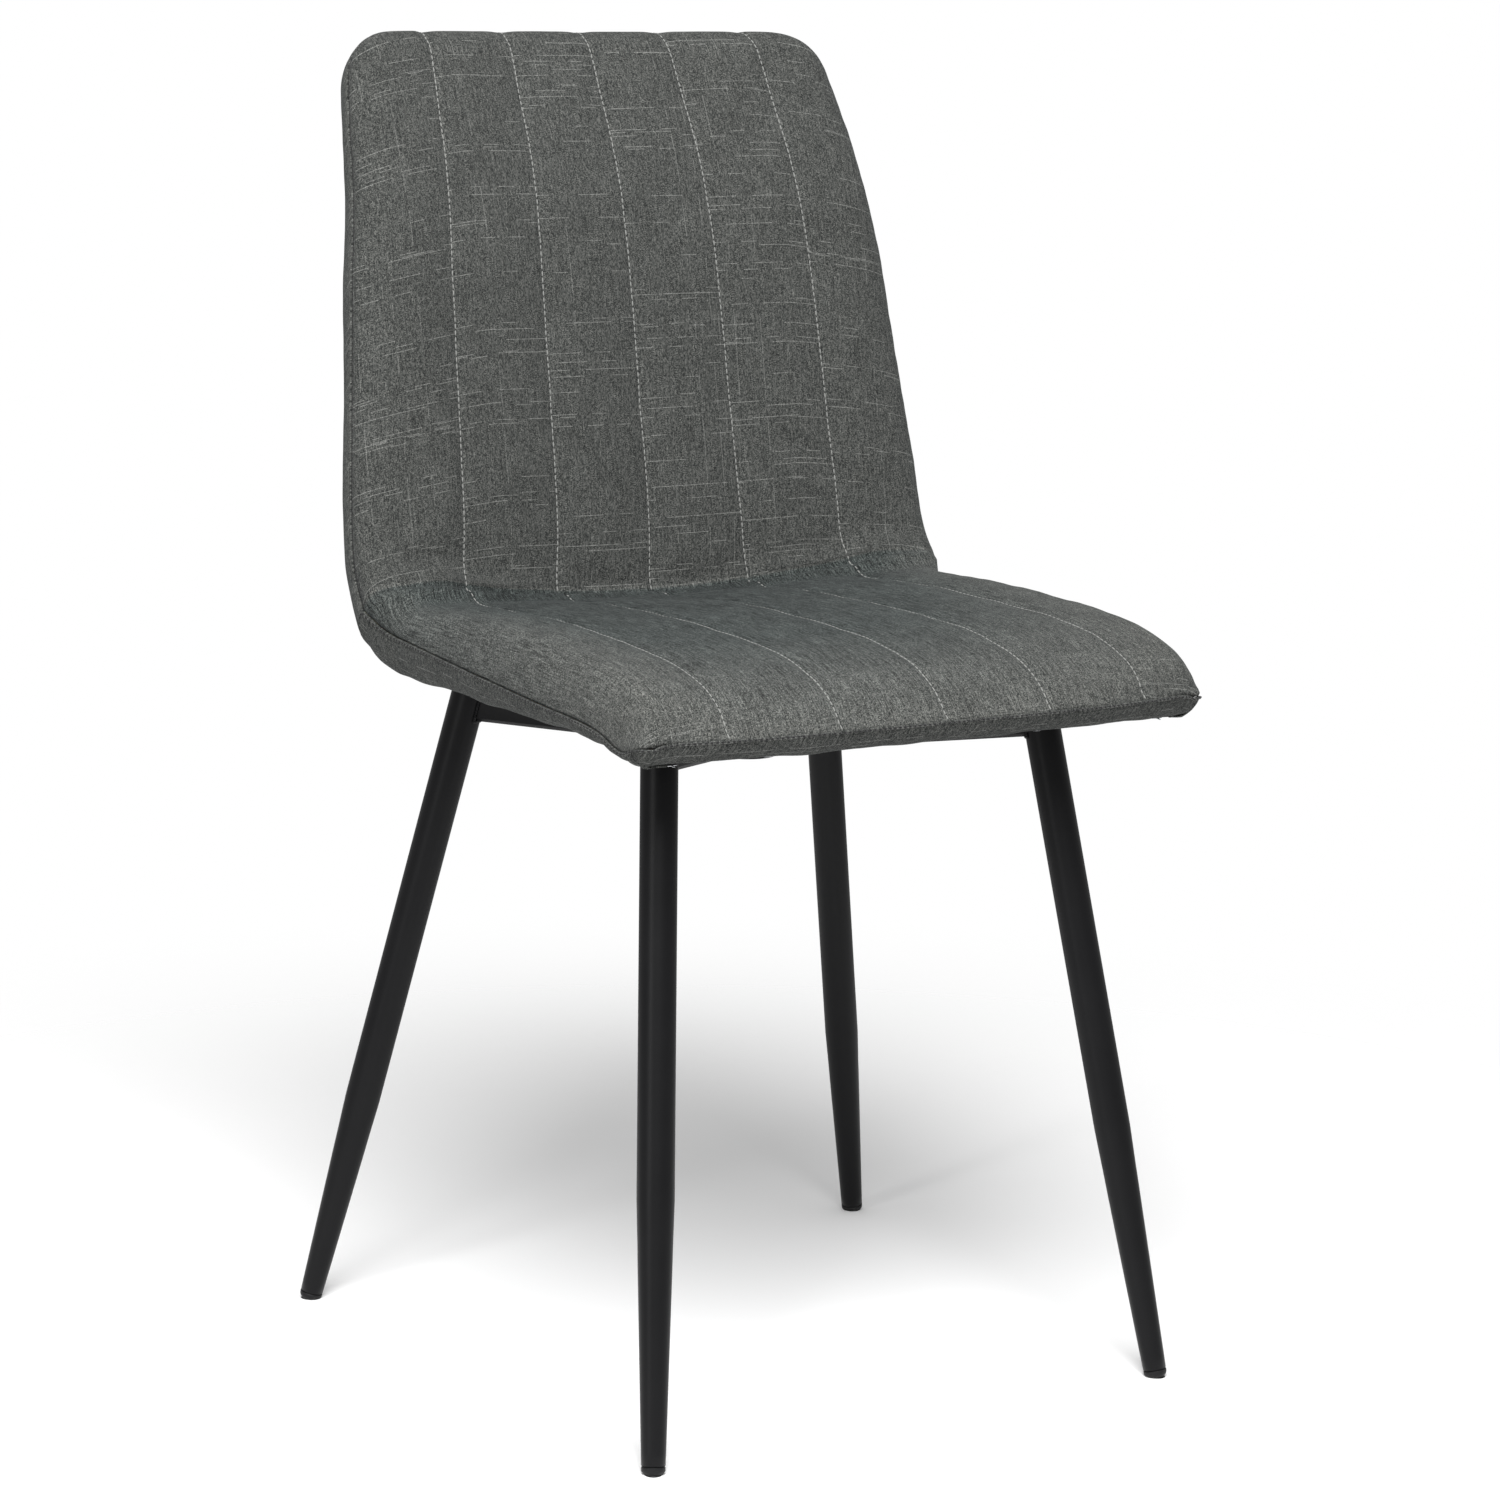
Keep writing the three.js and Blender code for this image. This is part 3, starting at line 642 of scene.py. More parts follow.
def plastic():
    """Moulded black plastic with a spark-eroded grain and scuffs near the floor."""
    f = Finish("black_plastic", specular_ior_level=0.2)
    place = f.object_place()
    z = f.parts(place)[2]
    grain = f.noise(place, 1900.0, 3.0, 0.6)
    scuff = f.noise(place, 260.0, 4.0, 0.7).between(0.52, 0.66) * (1 - z.between(0.0004, 0.004))
    colour = f.ramp(grain, (0.3, (0.005, 0.005, 0.0055)), (0.7, (0.010, 0.010, 0.0105)))
    return f.set(base_color=f.blend(scuff, colour, (0.030, 0.030, 0.028)),
                 roughness=0.45 + grain * 0.15 + scuff * 0.2, normal=f.bump(grain, 0.05, 0.6))


def zinc():
    """Bright zinc plate, faintly brushed and clouded."""
    f = Finish("zinc_plate", metallic=1.0)
    place = f.object_place()
    x, y, z = f.parts(place)
    brush = f.grain(x * 300, y * 300, z * 4000, 3.0)
    cloud = f.noise(place, 160.0, 3.0)
    return f.set(base_color=f.ramp(cloud, (0.3, (0.44, 0.45, 0.47)), (0.7, (0.62, 0.63, 0.64))),
                 roughness=0.24 + brush * 0.2 + cloud * 0.08, normal=f.bump(brush, 0.02, 0.5))


def paper_floor():
    """White studio paper that fades into the backdrop."""
    f = Finish("pale_floor", specular_ior_level=0.1)
    mottle = f.noise(f.object_place(), 3.0, 3.0)
    x, y, _ = f.parts(f.object_place())
    return f.set(base_color=f.ramp(mottle, (0.3, (0.93, 0.93, 0.93)), (0.7, (0.95, 0.95, 0.95))),
                 roughness=0.9 - mottle * 0.05, alpha=1 - ((x * x + y * y) ** 0.5).between(0.35, 1.3))


front_cloth = upholstery("channelled_upholstery", quilted=True)
plain_cloth = upholstery("plain_upholstery")
pale_thread = thread("pale_topstitch_thread", (0.15, 0.153, 0.146), (0.30, 0.303, 0.288))
dark_thread = thread("dark_seam_thread", (0.002, 0.002, 0.002), (0.007, 0.0075, 0.0075))
black_lining, cut_foam, bent_plywood = lining(), foam(), plywood()
black_coat, black_plastic, zinc_plate = powder_coat(), plastic(), zinc()
weld_coat = powder_coat("coated_weld", lumpy=0.5)


def finish_piece(obj, material, slot, *nodes):
    """Gives a piece its material, its place in the frame and the CAD pieces that it stands for."""
    obj.data.materials.clear()
    obj.data.materials.append(material)
    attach(obj, "root")
    if nodes:
        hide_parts(*nodes)
    return obj


# ----- repeated pieces, made by geometry nodes
class Tree(Nodes):
    """A geometry node tree with named number inputs, ending in Realize Instances and Set Material."""

    def __init__(self, name, **numbers):
        super().__init__(bpy.data.node_groups.new(name, "GeometryNodeTree"))
        self.socket("Geometry", "Geometry")
        for key, value in numbers.items():
            self.socket(key, "Float").default_value = value
        self.socket("Material", "Material")
        self.socket("Geometry", "Geometry", "OUTPUT")
        self.start = self.tree.nodes.new("NodeGroupInput")

    def socket(self, name, kind, way="INPUT"):
        return self.tree.interface.new_socket(name, in_out=way, socket_type="NodeSocket" + kind)

    def end(self, instances):
        real = self.add("GeometryNodeRealizeInstances", None, {0: instances})[0]
        smooth = self.add("GeometryNodeSetShadeSmooth", None, {0: real})[0]
        material = self.start.outputs["Material"]
        done = self.add("GeometryNodeSetMaterial", None, {0: smooth, "Material": material})[0]
        self.add("NodeGroupOutput", None, {0: done})

    def grow(self, obj, **numbers):
        """Runs the tree on an object and keeps the result as a plain mesh."""
        modifier = obj.modifiers.new("grow", "NODES")
        modifier.node_group = self.tree
        for item in self.tree.interface.items_tree:
            if item.item_type == "SOCKET" and item.in_out == "INPUT" and item.name in numbers:
                modifier[item.identifier] = numbers[item.name]
        return apply_modifiers(obj)


def path_tree(name, bead):
    """Small rounded pieces at an even pitch along a path. Each lies along it and faces its 'up' direction."""
    t = Tree(name, Pitch=0.0045, Length=0.0036, Width=0.001, Height=0.0008, Uneven=0.0)
    given = t.start.outputs
    curve = t.add("GeometryNodeMeshToCurve", None, {0: given["Geometry"]})[0]
    spaced = t.add("GeometryNodeResampleCurve", {"mode": "LENGTH"}, {0: curve, "Length": given["Pitch"]})[0]
    tangent = t.add("GeometryNodeInputTangent")[0]
    up = t.add("GeometryNodeInputNamedAttribute", {"data_type": "FLOAT_VECTOR"}, {"Name": "up"})[0]
    lie = t.add("FunctionNodeAlignRotationToVector", {"axis": "X"}, {"Vector": tangent})[0]
    lie = t.add("FunctionNodeAlignRotationToVector", {"axis": "Z", "pivot_axis": "X"},
                 {"Rotation": lie, "Vector": up})[0]
    ball = t.add("GeometryNodeMeshUVSphere", None, {"Segments": bead[0], "Rings": bead[1], "Radius": 0.5})[0]
    size = t.add("ShaderNodeCombineXYZ", None, {0: given["Length"], 1: given["Width"], 2: given["Height"]})[0]
    shaped = t.add("GeometryNodeTransform", None, {"Geometry": ball, "Scale": size})[0]
    less, more = (t.add("ShaderNodeMath", {"operation": sign}, {0: 1.0, 1: given["Uneven"]})[0]
                  for sign in ("SUBTRACT", "ADD"))
    vary = t.add("FunctionNodeRandomValue", {"data_type": "FLOAT"}, {2: less, 3: more, "Seed": 4})[1]
    t.end(t.add("GeometryNodeInstanceOnPoints", None, {
        "Points": spaced, "Instance": shaped, "Rotation": lie, "Scale": vary})[0])
    return t


stitch_tree, bead_tree = path_tree("stitches", (8, 5)), path_tree("weld_beads", (8, 6))


def path_object(name, lines, closed=False):
    """Paths of (points, up directions), in mm, as a mesh of edges that carries the up directions."""
    points, ups = (np.concatenate(part) for part in zip(*lines))
    edges, start = [], 0
    for line, _ in lines:
        end = start + len(line)
        edges += [(i, i + 1) for i in range(start, end - 1)] + ([(end - 1, start)] if closed else [])
        start = end
    mesh = bpy.data.meshes.new(name)
    mesh.from_pydata((points * MM).tolist(), edges, [])
    layer = mesh.attributes.new("up", "FLOAT_VECTOR", "POINT")
    layer.data.foreach_set("vector", ups.astype(np.float32).ravel())
    return placed(name, mesh)


def sewn(name, lines, material, pitch, length, width, height, slot="upholstery_fabric"):
    obj = stitch_tree.grow(path_object(name, lines), Pitch=pitch * MM, Length=length * MM,
                           Width=width * MM, Height=height * MM, Uneven=0.08, Material=material)
    return finish_piece(obj, material, slot)


# ----- the front cover: cloth swelling between its stitched rows
def spread(knots, counts, gather):
    """Values from knot to knot, gathered towards every knot."""
    out = [knots[0]]
    for a, b, n in zip(knots, knots[1:], counts):
        t = np.arange(1, n + 1) / n
        out += list(a + (b - a) * (t - gather * np.sin(2 * math.pi * t) / (2 * math.pi)))
    return np.array(out)


def row_places(below, above, gather=0.0):
    """Stations at nearly even steps along the front profile, closer together at the fold."""
    fold = at(ARC, CREASE)
    return np.interp(spread([0, fold, ARC[-1]], [below, above], gather), ARC, PLACES)


def swell_cloth(columns, rows):
    """Blows the front cover up between its stitched rows and returns how far each grid point moved."""
    across, station = np.meshgrid(columns, rows)
    front = face(across, station, 2.0)
    back = face(across, station, 2.0, rear=True)
    count = front[..., 0].size
    pad = slab("swelling_pad", back, front)
    crease = abs(station - CREASE) < 1e-3
    held = np.minimum(abs(across - np.round(across)) + 10 * (abs(across) > 2.2), 1) < 1e-6
    held |= crease | (abs(across) > 2.9) | (station < 0.02) | (station > 6.7)
    group = pad.vertex_groups.new(name="held")
    group.add(np.flatnonzero(held.ravel()).tolist() + list(range(count, 2 * count)), 1.0, "REPLACE")
    cloth = pad.modifiers.new("cloth", "CLOTH")
    numbers = dict(quality=6, mass=0.25, tension_stiffness=12, compression_stiffness=12, shear_stiffness=6,
                   bending_stiffness=1.5, use_pressure=True, uniform_pressure_force=4,
                   vertex_group_mass="held", pin_stiffness=1)
    for key, value in numbers.items():
        setattr(cloth.settings, key, value)
    cloth.settings.effector_weights.gravity = 0
    cloth.collision_settings.use_self_collision = False
    cloth.collision_settings.use_collision = False
    cloth.point_cache.frame_start, cloth.point_cache.frame_end = 1, 20
    for number in range(1, 21):
        scene.frame_set(number)
    swollen = pad.evaluated_get(bpy.context.evaluated_depsgraph_get()).to_mesh()
    found = np.zeros(len(swollen.vertices) * 3)
    swollen.vertices.foreach_get("co", found)
    moved = (found.reshape(-1, 3)[:count] / MM - front.reshape(-1, 3)).reshape(front.shape)
    scene.frame_set(1)
    bpy.data.objects.remove(pad)
    return np.clip((moved * grid_normals(front)).sum(-1), -1, 16)


def resampled(values, rows, columns, to_rows, to_columns):
    wide = np.stack([np.interp(to_columns, columns, line) for line in values])
    return np.stack([np.interp(to_rows, rows, line) for line in wide.T], 1)


def softened_grid(values, passes):
    for _ in range(passes):
        wide = np.pad(values, 1, mode="edge")
        values = (wide[:-2, 1:-1] + wide[2:, 1:-1] + wide[1:-1, :-2] + wide[1:-1, 2:] + 2 * values) / 6
    return values


coarse_columns = spread(ROWS, [4, 3, 10, 10, 10, 10, 3, 4], 0)
coarse_rows = row_places(50, 62)
rise = swell_cloth(coarse_columns, coarse_rows)
crown = np.percentile(rise, 96)
rise = np.clip(rise / max(crown, 1e-6), 0, 1.25) * 2.3

fine_columns = spread(ROWS, [10, 10, 22, 22, 22, 22, 10, 10], 0.72)
fine_rows = row_places(118, 144, 0.55)
across, station = np.meshgrid(fine_columns, fine_rows)
cover = face(across, station, 0)
outward = grid_normals(cover)
lift = softened_grid(resampled(rise, coarse_rows, coarse_columns, fine_rows, fine_columns), 2)
from_middle, from_edge = abs(across), 3 - abs(across)
edge_fade = unit(from_edge * 2.2) * unit(station / 0.08) * unit((7 - station) / 0.5)
row_gap = np.where(from_middle < 2.3, abs(across - np.clip(np.round(across), -2, 2)), 1) * ROW_SPACE
groove = bell(row_gap, 1.9) * 0.75 + bell(row_gap, 7) * 0.5
run = at(ARC, station)
fold_gap = abs(run - at(ARC, CREASE))
fold = (bell(fold_gap, 3.2) * 1.3 + bell(fold_gap, 10)) * (1 - 0.9 * eased(from_middle, 1.2, 2.4))
tug = bell(row_gap, 5) * np.sin(run / STITCH_PITCH * 2 * math.pi) * 0.10
uneven = wobble(cover, 70, 5) * 0.42 + wobble(cover, 27, 6) * 0.15
scallop = bell(row_gap, 9) * unit((station - 5.9) / 0.6) * 0.9
hem_dip = bell(from_edge, 0.06) + bell(station, 0.025)
offset = (lift - PAD_DROP - groove + tug + uneven) * edge_fade - scallop - fold - hem_dip
near_seam = (bell(from_edge, 0.16) + bell(station, 0.06)) * (from_middle > 2.5)
pucker = near_seam * (0.22 * np.sin(run / 6.3 + 2 * np.sin(run / 41)) + 0.30 * wobble(cover, 16, 7))
cover = cover + outward * (offset + pucker * np.clip(from_edge * 6, 0.25, 1))[..., None]

uv = np.stack([lengths(cover, 1) - lengths(cover, 1)[:, [len(fine_columns) // 2]], run], -1)
uv[..., 1] += 0.05 * np.clip(abs(uv[..., 0]) - 120, 0, None) ** 1.25
front_cover = cloth_sheet("front_cover", cover, uv)
# Mask for the painted seat shade, stored as the 'seat' attribute: weakest at the front seam (painted
# highlight on the lip) and strongest at the fold into the back (painted shade). It is weaker towards the
# sides, and weaker towards the +x side so that side reads lighter (painted light).
seat_shade_mask = unit((2.58 - station) / 0.09) * (0.18 + 0.82 * unit(station / 2.4))
seat_shade_mask = seat_shade_mask * (1 - 0.5 * eased(from_middle, 1.6, 2.8)) * (1 - 0.25 * eased(across, 0.2, 2))
for label, values in (("panel", across + 3), ("seat", seat_shade_mask)):
    layer = front_cover.data.attributes.new(label, "FLOAT", "POINT")
    layer.data.foreach_set("value", np.concatenate([values.ravel()] * 2).astype(np.float32))
finish_piece(front_cover, front_cloth, "upholstery_fabric", "front_cover")

normals = grid_normals(cover)
rows_of_thread = []
proud = np.where(fine_rows[2:-1] < 2.4, 0.0, 0.1)[:, None]  # how far the thread stands out of its groove
for line in (-2, -1, 0, 1, 2):
    k = int(np.argmin(abs(fine_columns - line)))
    rows_of_thread.append((cover[2:-1, k] + normals[2:-1, k] * proud, normals[2:-1, k]))
sewn("topstitching", rows_of_thread, pale_thread, STITCH_PITCH, 3.8, 1.05, 0.85)


# ----- the rest of the cover
across_r, station_r = np.meshgrid(np.linspace(-3, 3, 97), np.linspace(COVER_SPLIT, 7, 150))
back = face(across_r, station_r, 0, rear=True)
fade = unit((3 - abs(across_r)) * 3) * unit((7 - station_r) * 3)
uneven = (wobble(back, 95, 31) * 0.7 + wobble(back, 30, 32) * 0.2) * fade
back = back - grid_normals(back) * uneven[..., None]
uv_back = np.stack([lengths(back, 1), lengths(back, 0)], -1) + (350, 900)
rear_cover = cloth_sheet("rear_cover", back, uv_back, flip=True)
finish_piece(rear_cover, plain_cloth, "upholstery_fabric", "rear_cover")


def band_point(outline, along, share, wave):
    """A strip from the seam round the lower edge and in under the seat."""
    x, place, nx, ny, seam, reach = outline(along)
    turn = min(1, share / 0.6) * math.pi / 2
    tucked = max(0, share - 0.6) / 0.4
    bulge = wave * math.cos(turn) * math.sin(math.pi * min(1, share / 0.6))
    inward = reach - reach * math.cos(turn) + tucked * (HEM - reach) - bulge
    bottom = 1.3 - wave * math.sin(turn) * (1 - tucked)
    depth = seam - (seam - bottom) * math.sin(turn)
    place = max(0, place + ny * inward / LIP_LENGTH)
    return shell_point(np.array(x + nx * inward), np.array(place), np.array(depth))


def side_outline(side):
    def outline(place):
        seam = float(seam_depth(place)) - 2 * GAP
        return side * float(half_width(place)), place, -side, 0, seam, SIDE_REACH
    return outline


def front_outline(along):
    """Round one front corner, across the front edge and round the other corner."""
    side = 1 if along < 0.5 else -1
    share = min(along, 1 - along) * 2
    angle = min(1, share / 0.4) * math.pi / 2
    narrow = float(half_width(0))
    centre = narrow * (1 - max(0, share - 0.4) / 0.6)
    place = FRONT_CORNER / LIP_LENGTH * (1 - math.sin(angle))
    past = max(0, centre - narrow + SIDE_RADIUS) / SIDE_RADIUS
    fall = 0 if angle < math.pi / 2 else math.sqrt(max(0, 1 - past * past))
    low = float(seam_depth(place))
    seam = low + (float(at(THICK, place)) - low) * fall - GAP
    reach = SIDE_REACH + (FRONT_REACH - SIDE_REACH) * math.sin(angle)
    x = side * (centre + FRONT_CORNER * math.cos(angle))
    return x, place, -side * math.cos(angle), math.sin(angle), seam, reach


def make_band(name, outline, steps, seed, flip):
    """One band with soft waves along it. Gives its seam line and the way that each point of it faces."""
    phases = np.random.default_rng(seed).uniform(0, 2 * math.pi, 4)
    points = []
    for i, along in enumerate(steps):
        wave = sum(height * math.sin(i * 2.6 / length + phase)
                   for height, length, phase in zip((0.55, 0.4, 0.25), (9, 17, 5), phases))
        wave *= min(1, i / 6, (len(steps) - 1 - i) / 6)
        points.append([band_point(outline, along, share, wave) for share in np.linspace(0, 1, 19)])
    points = np.array(points)
    uv = np.stack([lengths(points, 0), -lengths(points, 1)], -1) + (100 * seed, 300)
    band = cloth_sheet(name, points, uv, 1.4, flip=flip)
    finish_piece(band, plain_cloth, "upholstery_fabric", name)
    outwards = (grid_normals(points) * (-1 if flip else 1))[2:-2, 1]
    return points[2:-2, 0] * 0.8 + points[2:-2, 1] * 0.2 + outwards * 0.8, outwards


side_steps = np.linspace(FRONT_CORNER / LIP_LENGTH + 0.01, COVER_SPLIT - 0.02, 150)
seams = [make_band("left_side_band", side_outline(-1), side_steps, 3, True),
         make_band("right_side_band", side_outline(1), side_steps, 4, False),
         make_band("front_band", front_outline, np.linspace(0, 1, 220), 5, True)]
keep = station[:, 0] > COVER_SPLIT
back_seams = [(cover[keep][:, k] + normals[keep][:, k] * 0.15, normals[keep][:, k]) for k in (1, -2)]
sewn("seat_seam_stitching", seams, dark_thread, SEAM_PITCH, 2.6, 1.5, 1.2)
sewn("back_seam_stitching", back_seams, dark_thread, SEAM_PITCH, 2.9, 0.7, 0.6)

# lining under the seat, stapled along its edges
across_l, station_l = np.meshgrid(np.linspace(-1, 1, 90), np.linspace(LINING_FRONT, COVER_SPLIT - 0.02, 130))
under = shell_point(across_l * (half_width(station_l) - LINING_MARGIN), station_l, 0 * station_l)
under[..., 2] += np.clip(wobble(under, 60, 41), -1, 1) * 0.12
uv_under = np.stack([under[..., 0], lengths(under, 0)], -1)
dust_cover = cloth_sheet("dust_cover", under, uv_under, 0.6, flip=True)
finish_piece(dust_cover, black_lining, "lining_fabric", "dust_cover")
down = np.array([0.0, 0.0, -1.0])
staple_lines = [(line + down * 0.9, np.tile(down, (len(line), 1)))
                for line in (under[3:-3, 2], under[3:-3, -3], under[3, 2:-2], under[-4, 2:-2])]
sewn("lining_staples", staple_lines, zinc_plate, 31, 9.5, 1.3, 1.0, "zinc_steel")

# foam and wadding under the cover
for name, low, high, steps, lift in (("seat_foam", PLY_FRONT, COVER_SPLIT - 0.01, 70, 11.3),
                                     ("back_foam", COVER_SPLIT + 0.01, 7, 70, 11.3),
                                     ("back_wadding", COVER_SPLIT, 7, 80, -0.6)):
    a, s = np.meshgrid(np.linspace(-3, 3, 49), np.linspace(low, high, steps))
    ply_side = inner(a, s, PLY_MARGIN - 3, lambda place: at(PLIES, place) + lift)
    if lift > 0:
        cover_side = face(a, s, 7.5) - np.where(abs(s - CREASE) < 0.35, 3.0, 0)[..., None] * (0, -0.5, 0.8)
        pad = slab(name, ply_side, cover_side)
    else:
        pad = slab(name, face(a, s, 2.6, rear=True), ply_side)
    finish_piece(pad, cut_foam, "foam", name)


# ----- legs and frame
LEGS = {
    "front": dict(x=196.2, y=-233.5, inward=0.111, along=0.198, taper=168, arm=440.5),
    "rear": dict(x=227.7, y=192.3, inward=0.196, along=-0.166, taper=148, arm=431),
}
CORNERS = [(f"{place}_{hand}", leg, side)
           for place, leg in LEGS.items() for hand, side in (("left", -1), ("right", 1))]
LEG_RADIUS, FOOT_RADIUS, GLIDE_HEIGHT, LEG_WALL = 12.1, 7.8, 5, 1.5
ARM_HALF_WIDTH, ARM_HALF_HEIGHT = 7.5, 11
PLATE_BOTTOM, LEG_TOP = 453.7, 453.4
HUB = np.array([0, -11.3 + SET_BACK, 419])
HUB_RADIUS, HUB_BORE, HUB_HALF_HEIGHT = 22, 19.5, 13


def leg_point(leg, side, height):
    x = side * (leg["x"] - leg["inward"] * height)
    return np.array([x, leg["y"] + SET_BACK + leg["along"] * height, height])


def make_tube(corner, foot, axis, start, taper, top):
    """Leg drawn down towards the foot, parallel above the taper, and open at both ends."""
    profile = [(FOOT_RADIUS - 0.5, start), (FOOT_RADIUS, start + 0.5)]
    for t in np.linspace(0.05, 1, 12):
        share = t - 0.06 * math.sin(math.pi * t) ** 2 * (t > 0.8)
        profile.append((FOOT_RADIUS + (LEG_RADIUS - FOOT_RADIUS) * share, start + (taper - start) * t))
    profile += [(LEG_RADIUS, taper + (top - taper) * t) for t in (0.1, 0.4, 0.7, 0.98)]
    profile += [(LEG_RADIUS - 0.3, top), (LEG_RADIUS - LEG_WALL, top), (LEG_RADIUS - LEG_WALL, taper),
                (FOOT_RADIUS - LEG_WALL, start), (FOOT_RADIUS - 0.5, start)]
    tube = sharpened(lathe(f"{corner}_tube", profile, foot, axis, 56), 50)
    finish_piece(tube, black_coat, "black_steel", f"{corner}_leg")


def make_glide(corner, foot, axis, shoulder):
    """Moulded foot with a stem up the tube, cut level where it stands."""
    stem = FOOT_RADIUS - LEG_WALL - GAP
    outside = ((2.4, -5), (2, -0.4), (1.3, 0.5), (0.6, 1.2), (0.1, 2.2), (0, 3.2),
               (0, shoulder - 0.5), (0.5, shoulder))
    profile = [(0, -5)] + [(FOOT_RADIUS - inset, height) for inset, height in outside]
    profile += [(stem, shoulder), (stem, shoulder + 15), (stem - 0.8, shoulder + 16), (0, shoulder + 16)]
    glide = lathe(f"{corner}_foot_glide", profile, foot, axis)
    for vertex in glide.data.vertices:
        vertex.co.z = max(vertex.co.z, 0)
    clean(glide)
    finish_piece(sharpened(glide, 40), black_plastic, "black_plastic", f"{corner}_glide")


def make_welds(corner, leg, side, axis):
    """Beads that join leg to plate, arm to leg and arm to hub."""
    ring = spun(axis, 40)
    top = leg_point(leg, side, LEG_TOP - 0.4) + ring * (LEG_RADIUS + 0.4)
    top[:, 2] = LEG_TOP - 0.5
    start = leg_point(leg, side, leg["arm"])
    length = np.linalg.norm(HUB - start)
    way = (HUB - start) / length
    sideways = np.cross((0, 0, 1), way)
    sideways /= np.linalg.norm(sideways)
    upward = np.cross(way, sideways)
    steps = np.linspace(-1, 1, 9)
    section = [(t, -1) for t in steps] + [(1, t) for t in steps[1:]]
    section += [(-t, 1) for t in steps[1:]] + [(-1, -t) for t in steps[1:-1]]
    x, z = (np.array(section) * (ARM_HALF_WIDTH, ARM_HALF_HEIGHT)).T[:, :, None]
    to_leg = np.sqrt((LEG_RADIUS + 0.3) ** 2 - x ** 2) + z * (axis @ way) / max(axis @ upward, 0.3)
    to_hub = length - np.sqrt((HUB_RADIUS + 0.3) ** 2 - x ** 2) / np.linalg.norm(way[:2])
    beads = [(top, ring)] + [(start + x * sideways + z * upward + reach * way, np.tile(faces, (len(x), 1)))
                             for reach, faces in ((to_leg, way), (to_hub, -way))]
    weld = bead_tree.grow(path_object(f"{corner}_weld", beads, closed=True), Pitch=1.5 * MM, Length=3.4 * MM,
                          Width=3.2 * MM, Height=2.2 * MM, Uneven=0.12, Material=weld_coat)
    finish_piece(weld, weld_coat, "black_steel")


for corner, leg, side in CORNERS:
    foot = leg_point(leg, side, 0)
    slanted = leg_point(leg, side, 1) - foot
    slant = np.linalg.norm(slanted)  # length along the leg for each millimetre of height
    axis = slanted / slant
    start = GLIDE_HEIGHT * slant
    top = LEG_TOP * slant - LEG_RADIUS * math.tan(math.acos(1 / slant))
    make_tube(corner, foot, axis, start, leg["taper"] * slant, top)
    make_glide(corner, foot, axis, start - GAP)
    for part, label, bevel in (("plate", "mounting_plate", 0.5), ("arm", "frame_arm", 0.4)):
        piece = from_cad(f"{corner}_{part}", f"{corner}_{label}", bevel)
        finish_piece(piece, black_coat, "black_steel", f"{corner}_{part}")
    make_welds(corner, leg, side, axis)


def ring_profile(bore, radius, low, high, inside, outside):
    """Section of a ring whose edges are broken by the amounts inside and outside."""
    return [(bore + inside, low), (radius - outside, low), (radius, low + outside), (radius, high - outside),
            (radius - outside, high), (bore + inside, high), (bore, high - inside), (bore, low + inside),
            (bore + inside, low)]


hub_profile = ring_profile(HUB_BORE, HUB_RADIUS, -HUB_HALF_HEIGHT, HUB_HALF_HEIGHT, 0.7, 0.7)
hub = sharpened(lathe("frame_hub", hub_profile, HUB, segments=64), 50)
finish_piece(hub, black_coat, "black_steel", "centre_hub")


# ----- fasteners
WASHER_TOP, WASHER = PLATE_BOTTOM - GAP, 1.2
HEAD_TOP = WASHER_TOP - WASHER - GAP
HEAD = 3.6  # height of a bolt's head


def button_bolt(name, x, y):
    """Button-head bolt, head down, with a hexagon socket."""
    turn = np.arange(24) / 24 * 2 * math.pi
    circle = np.stack([np.cos(turn), np.sin(turn)], 1)
    hexagon = circle * (math.cos(math.pi / 6) / np.cos((turn % (math.pi / 3)) - math.pi / 6))[:, None]
    round_rings = ((3, -16), (3, 0), (5.5, 0), (5.5, 1.2), (5.1, 2.2), (4.3, 3.1), (3.6, HEAD))
    rings = [(circle * radius, HEAD_TOP - drop) for radius, drop in round_rings]
    socket_rings = ((2.35, 0), (2.3, 0.2), (2.3, 2.2))
    rings += [(hexagon * radius, HEAD_TOP - HEAD + rise) for radius, rise in socket_rings]
    points = np.concatenate([np.column_stack([ring, np.full(24, z)]) for ring, z in rings]) + (x, y, 0)
    faces = [list(f) for f in grid_faces(len(rings), 24, wrap=True)]
    faces += [list(range(24)), [24 * (len(rings) - 1) + i for i in range(24)]]
    obj = to_mesh(name, points, faces)
    clean(obj, 0.001)
    return sharpened(obj)


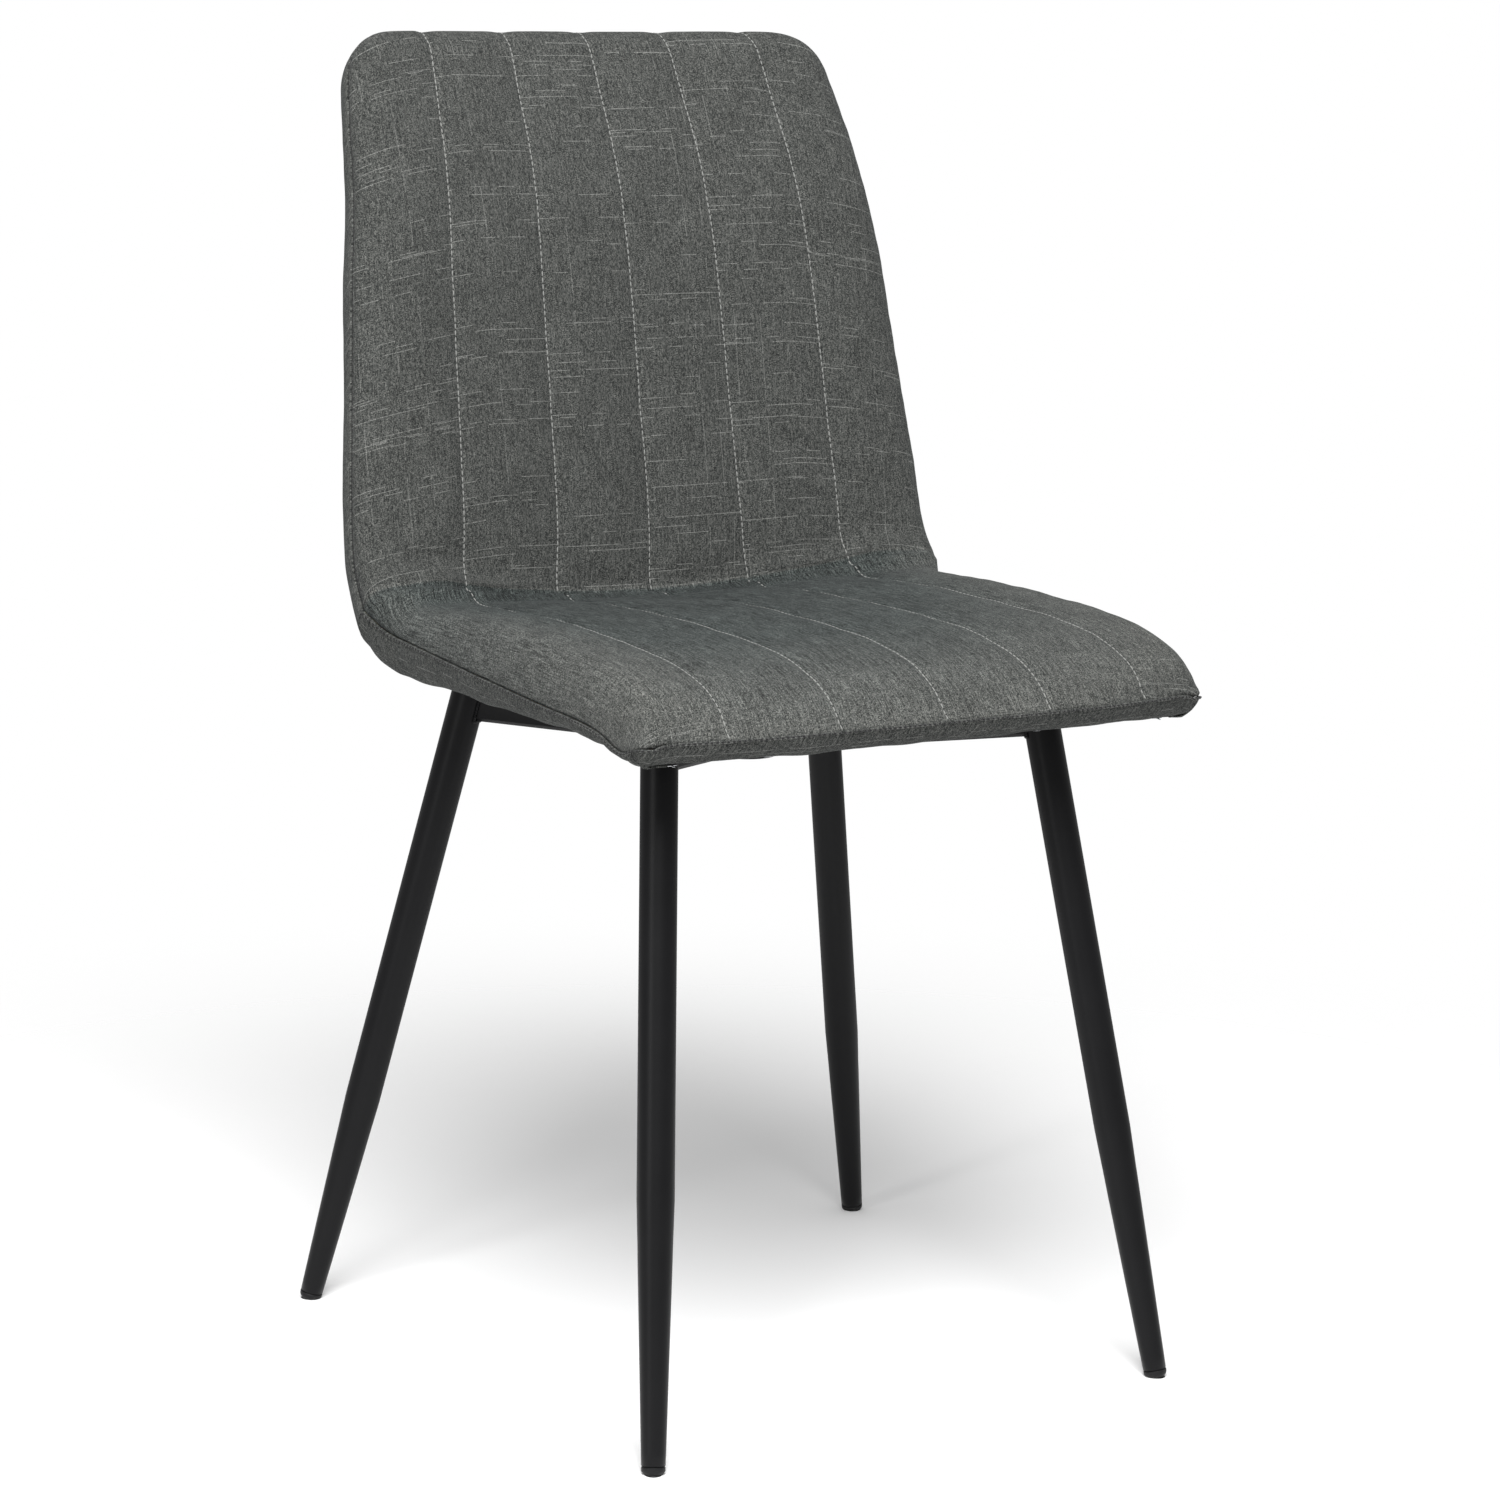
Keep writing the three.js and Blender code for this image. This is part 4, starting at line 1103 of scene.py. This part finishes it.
for corner, _, _ in CORNERS:
    for number in (1, 2):
        low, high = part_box(f"{corner}_bolt_{number}")
        x, y = (low.x + high.x) / 2 / MM, (low.y + high.y) / 2 / MM
        bolt = button_bolt(f"{corner}_socket_bolt_{number}", x, y)
        finish_piece(bolt, zinc_plate, "zinc_steel", f"{corner}_bolt_{number}")
        ring = ring_profile(3.3, 8, WASHER_TOP - WASHER, WASHER_TOP, 0.1, 0.2)
        flat = sharpened(lathe(f"{corner}_flat_washer_{number}", ring, (x, y, 0), segments=32))
        finish_piece(flat, zinc_plate, "zinc_steel", f"{corner}_washer_{number}")

# carried-over pieces keep their CAD shape and get a worked material
for name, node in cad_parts.items():
    material = bent_plywood if name == "plywood_shell" else zinc_plate if "tee_nut" in name else None
    if material:
        for slot in node.material_slots:
            slot.material = material

# ----- floor, light and camera
bpy.ops.mesh.primitive_plane_add(size=6, location=(0, 0, 0))
floor = bpy.context.object
floor.name = "studio_floor"
floor.data.materials.append(paper_floor())

world = bpy.data.worlds.new("studio")
scene.world = world
world.use_nodes = True
backdrop = world.node_tree.nodes["Background"]
backdrop.inputs["Color"].default_value = (1, 1, 1, 1)
sky = Nodes(world.node_tree)
seen = sky.add("ShaderNodeLightPath")["Is Camera Ray"]
# white to the camera, and half as bright to everything that it lights
strength = sky.add("ShaderNodeMapRange", None, {"Value": seen, "To Min": 0.5})["Result"]
sky.feed(backdrop.inputs["Strength"], strength)


def soft_light(name, place, aim, size, power):
    lamp = bpy.data.lights.new(name, "AREA")
    lamp.shape = "RECTANGLE"
    lamp.size, lamp.size_y = size
    lamp.energy = power
    obj = placed(name, lamp)
    obj.location = place
    obj.rotation_euler = (Vector(aim) - Vector(place)).to_track_quat("-Z", "Y").to_euler()


soft_light("key_light", (-1.05, -1.8, 2.66), (0, 0, 0.5), (1.8, 1.8), 150)
soft_light("side_light", (-2.6, -1.0, 1.0), (0, 0, 0.4), (0.4, 1.8), 16)

azimuth, elevation, roll = (math.radians(a) for a in (-31.75, 10.69, 0.99))
level = math.cos(elevation)
toward = Vector((math.sin(azimuth) * level, -math.cos(azimuth) * level, math.sin(elevation)))
camera = placed("camera", bpy.data.cameras.new("camera"))
camera.data.lens, camera.data.sensor_width = 104.45, 36
camera.location = (-1.51919, -2.47306, 0.95429)
camera.rotation_euler = (toward.to_track_quat("Z", "Y") @ Quaternion((0, 0, 1), roll)).to_euler()
scene.camera = camera
scene.view_settings.view_transform = "Standard"
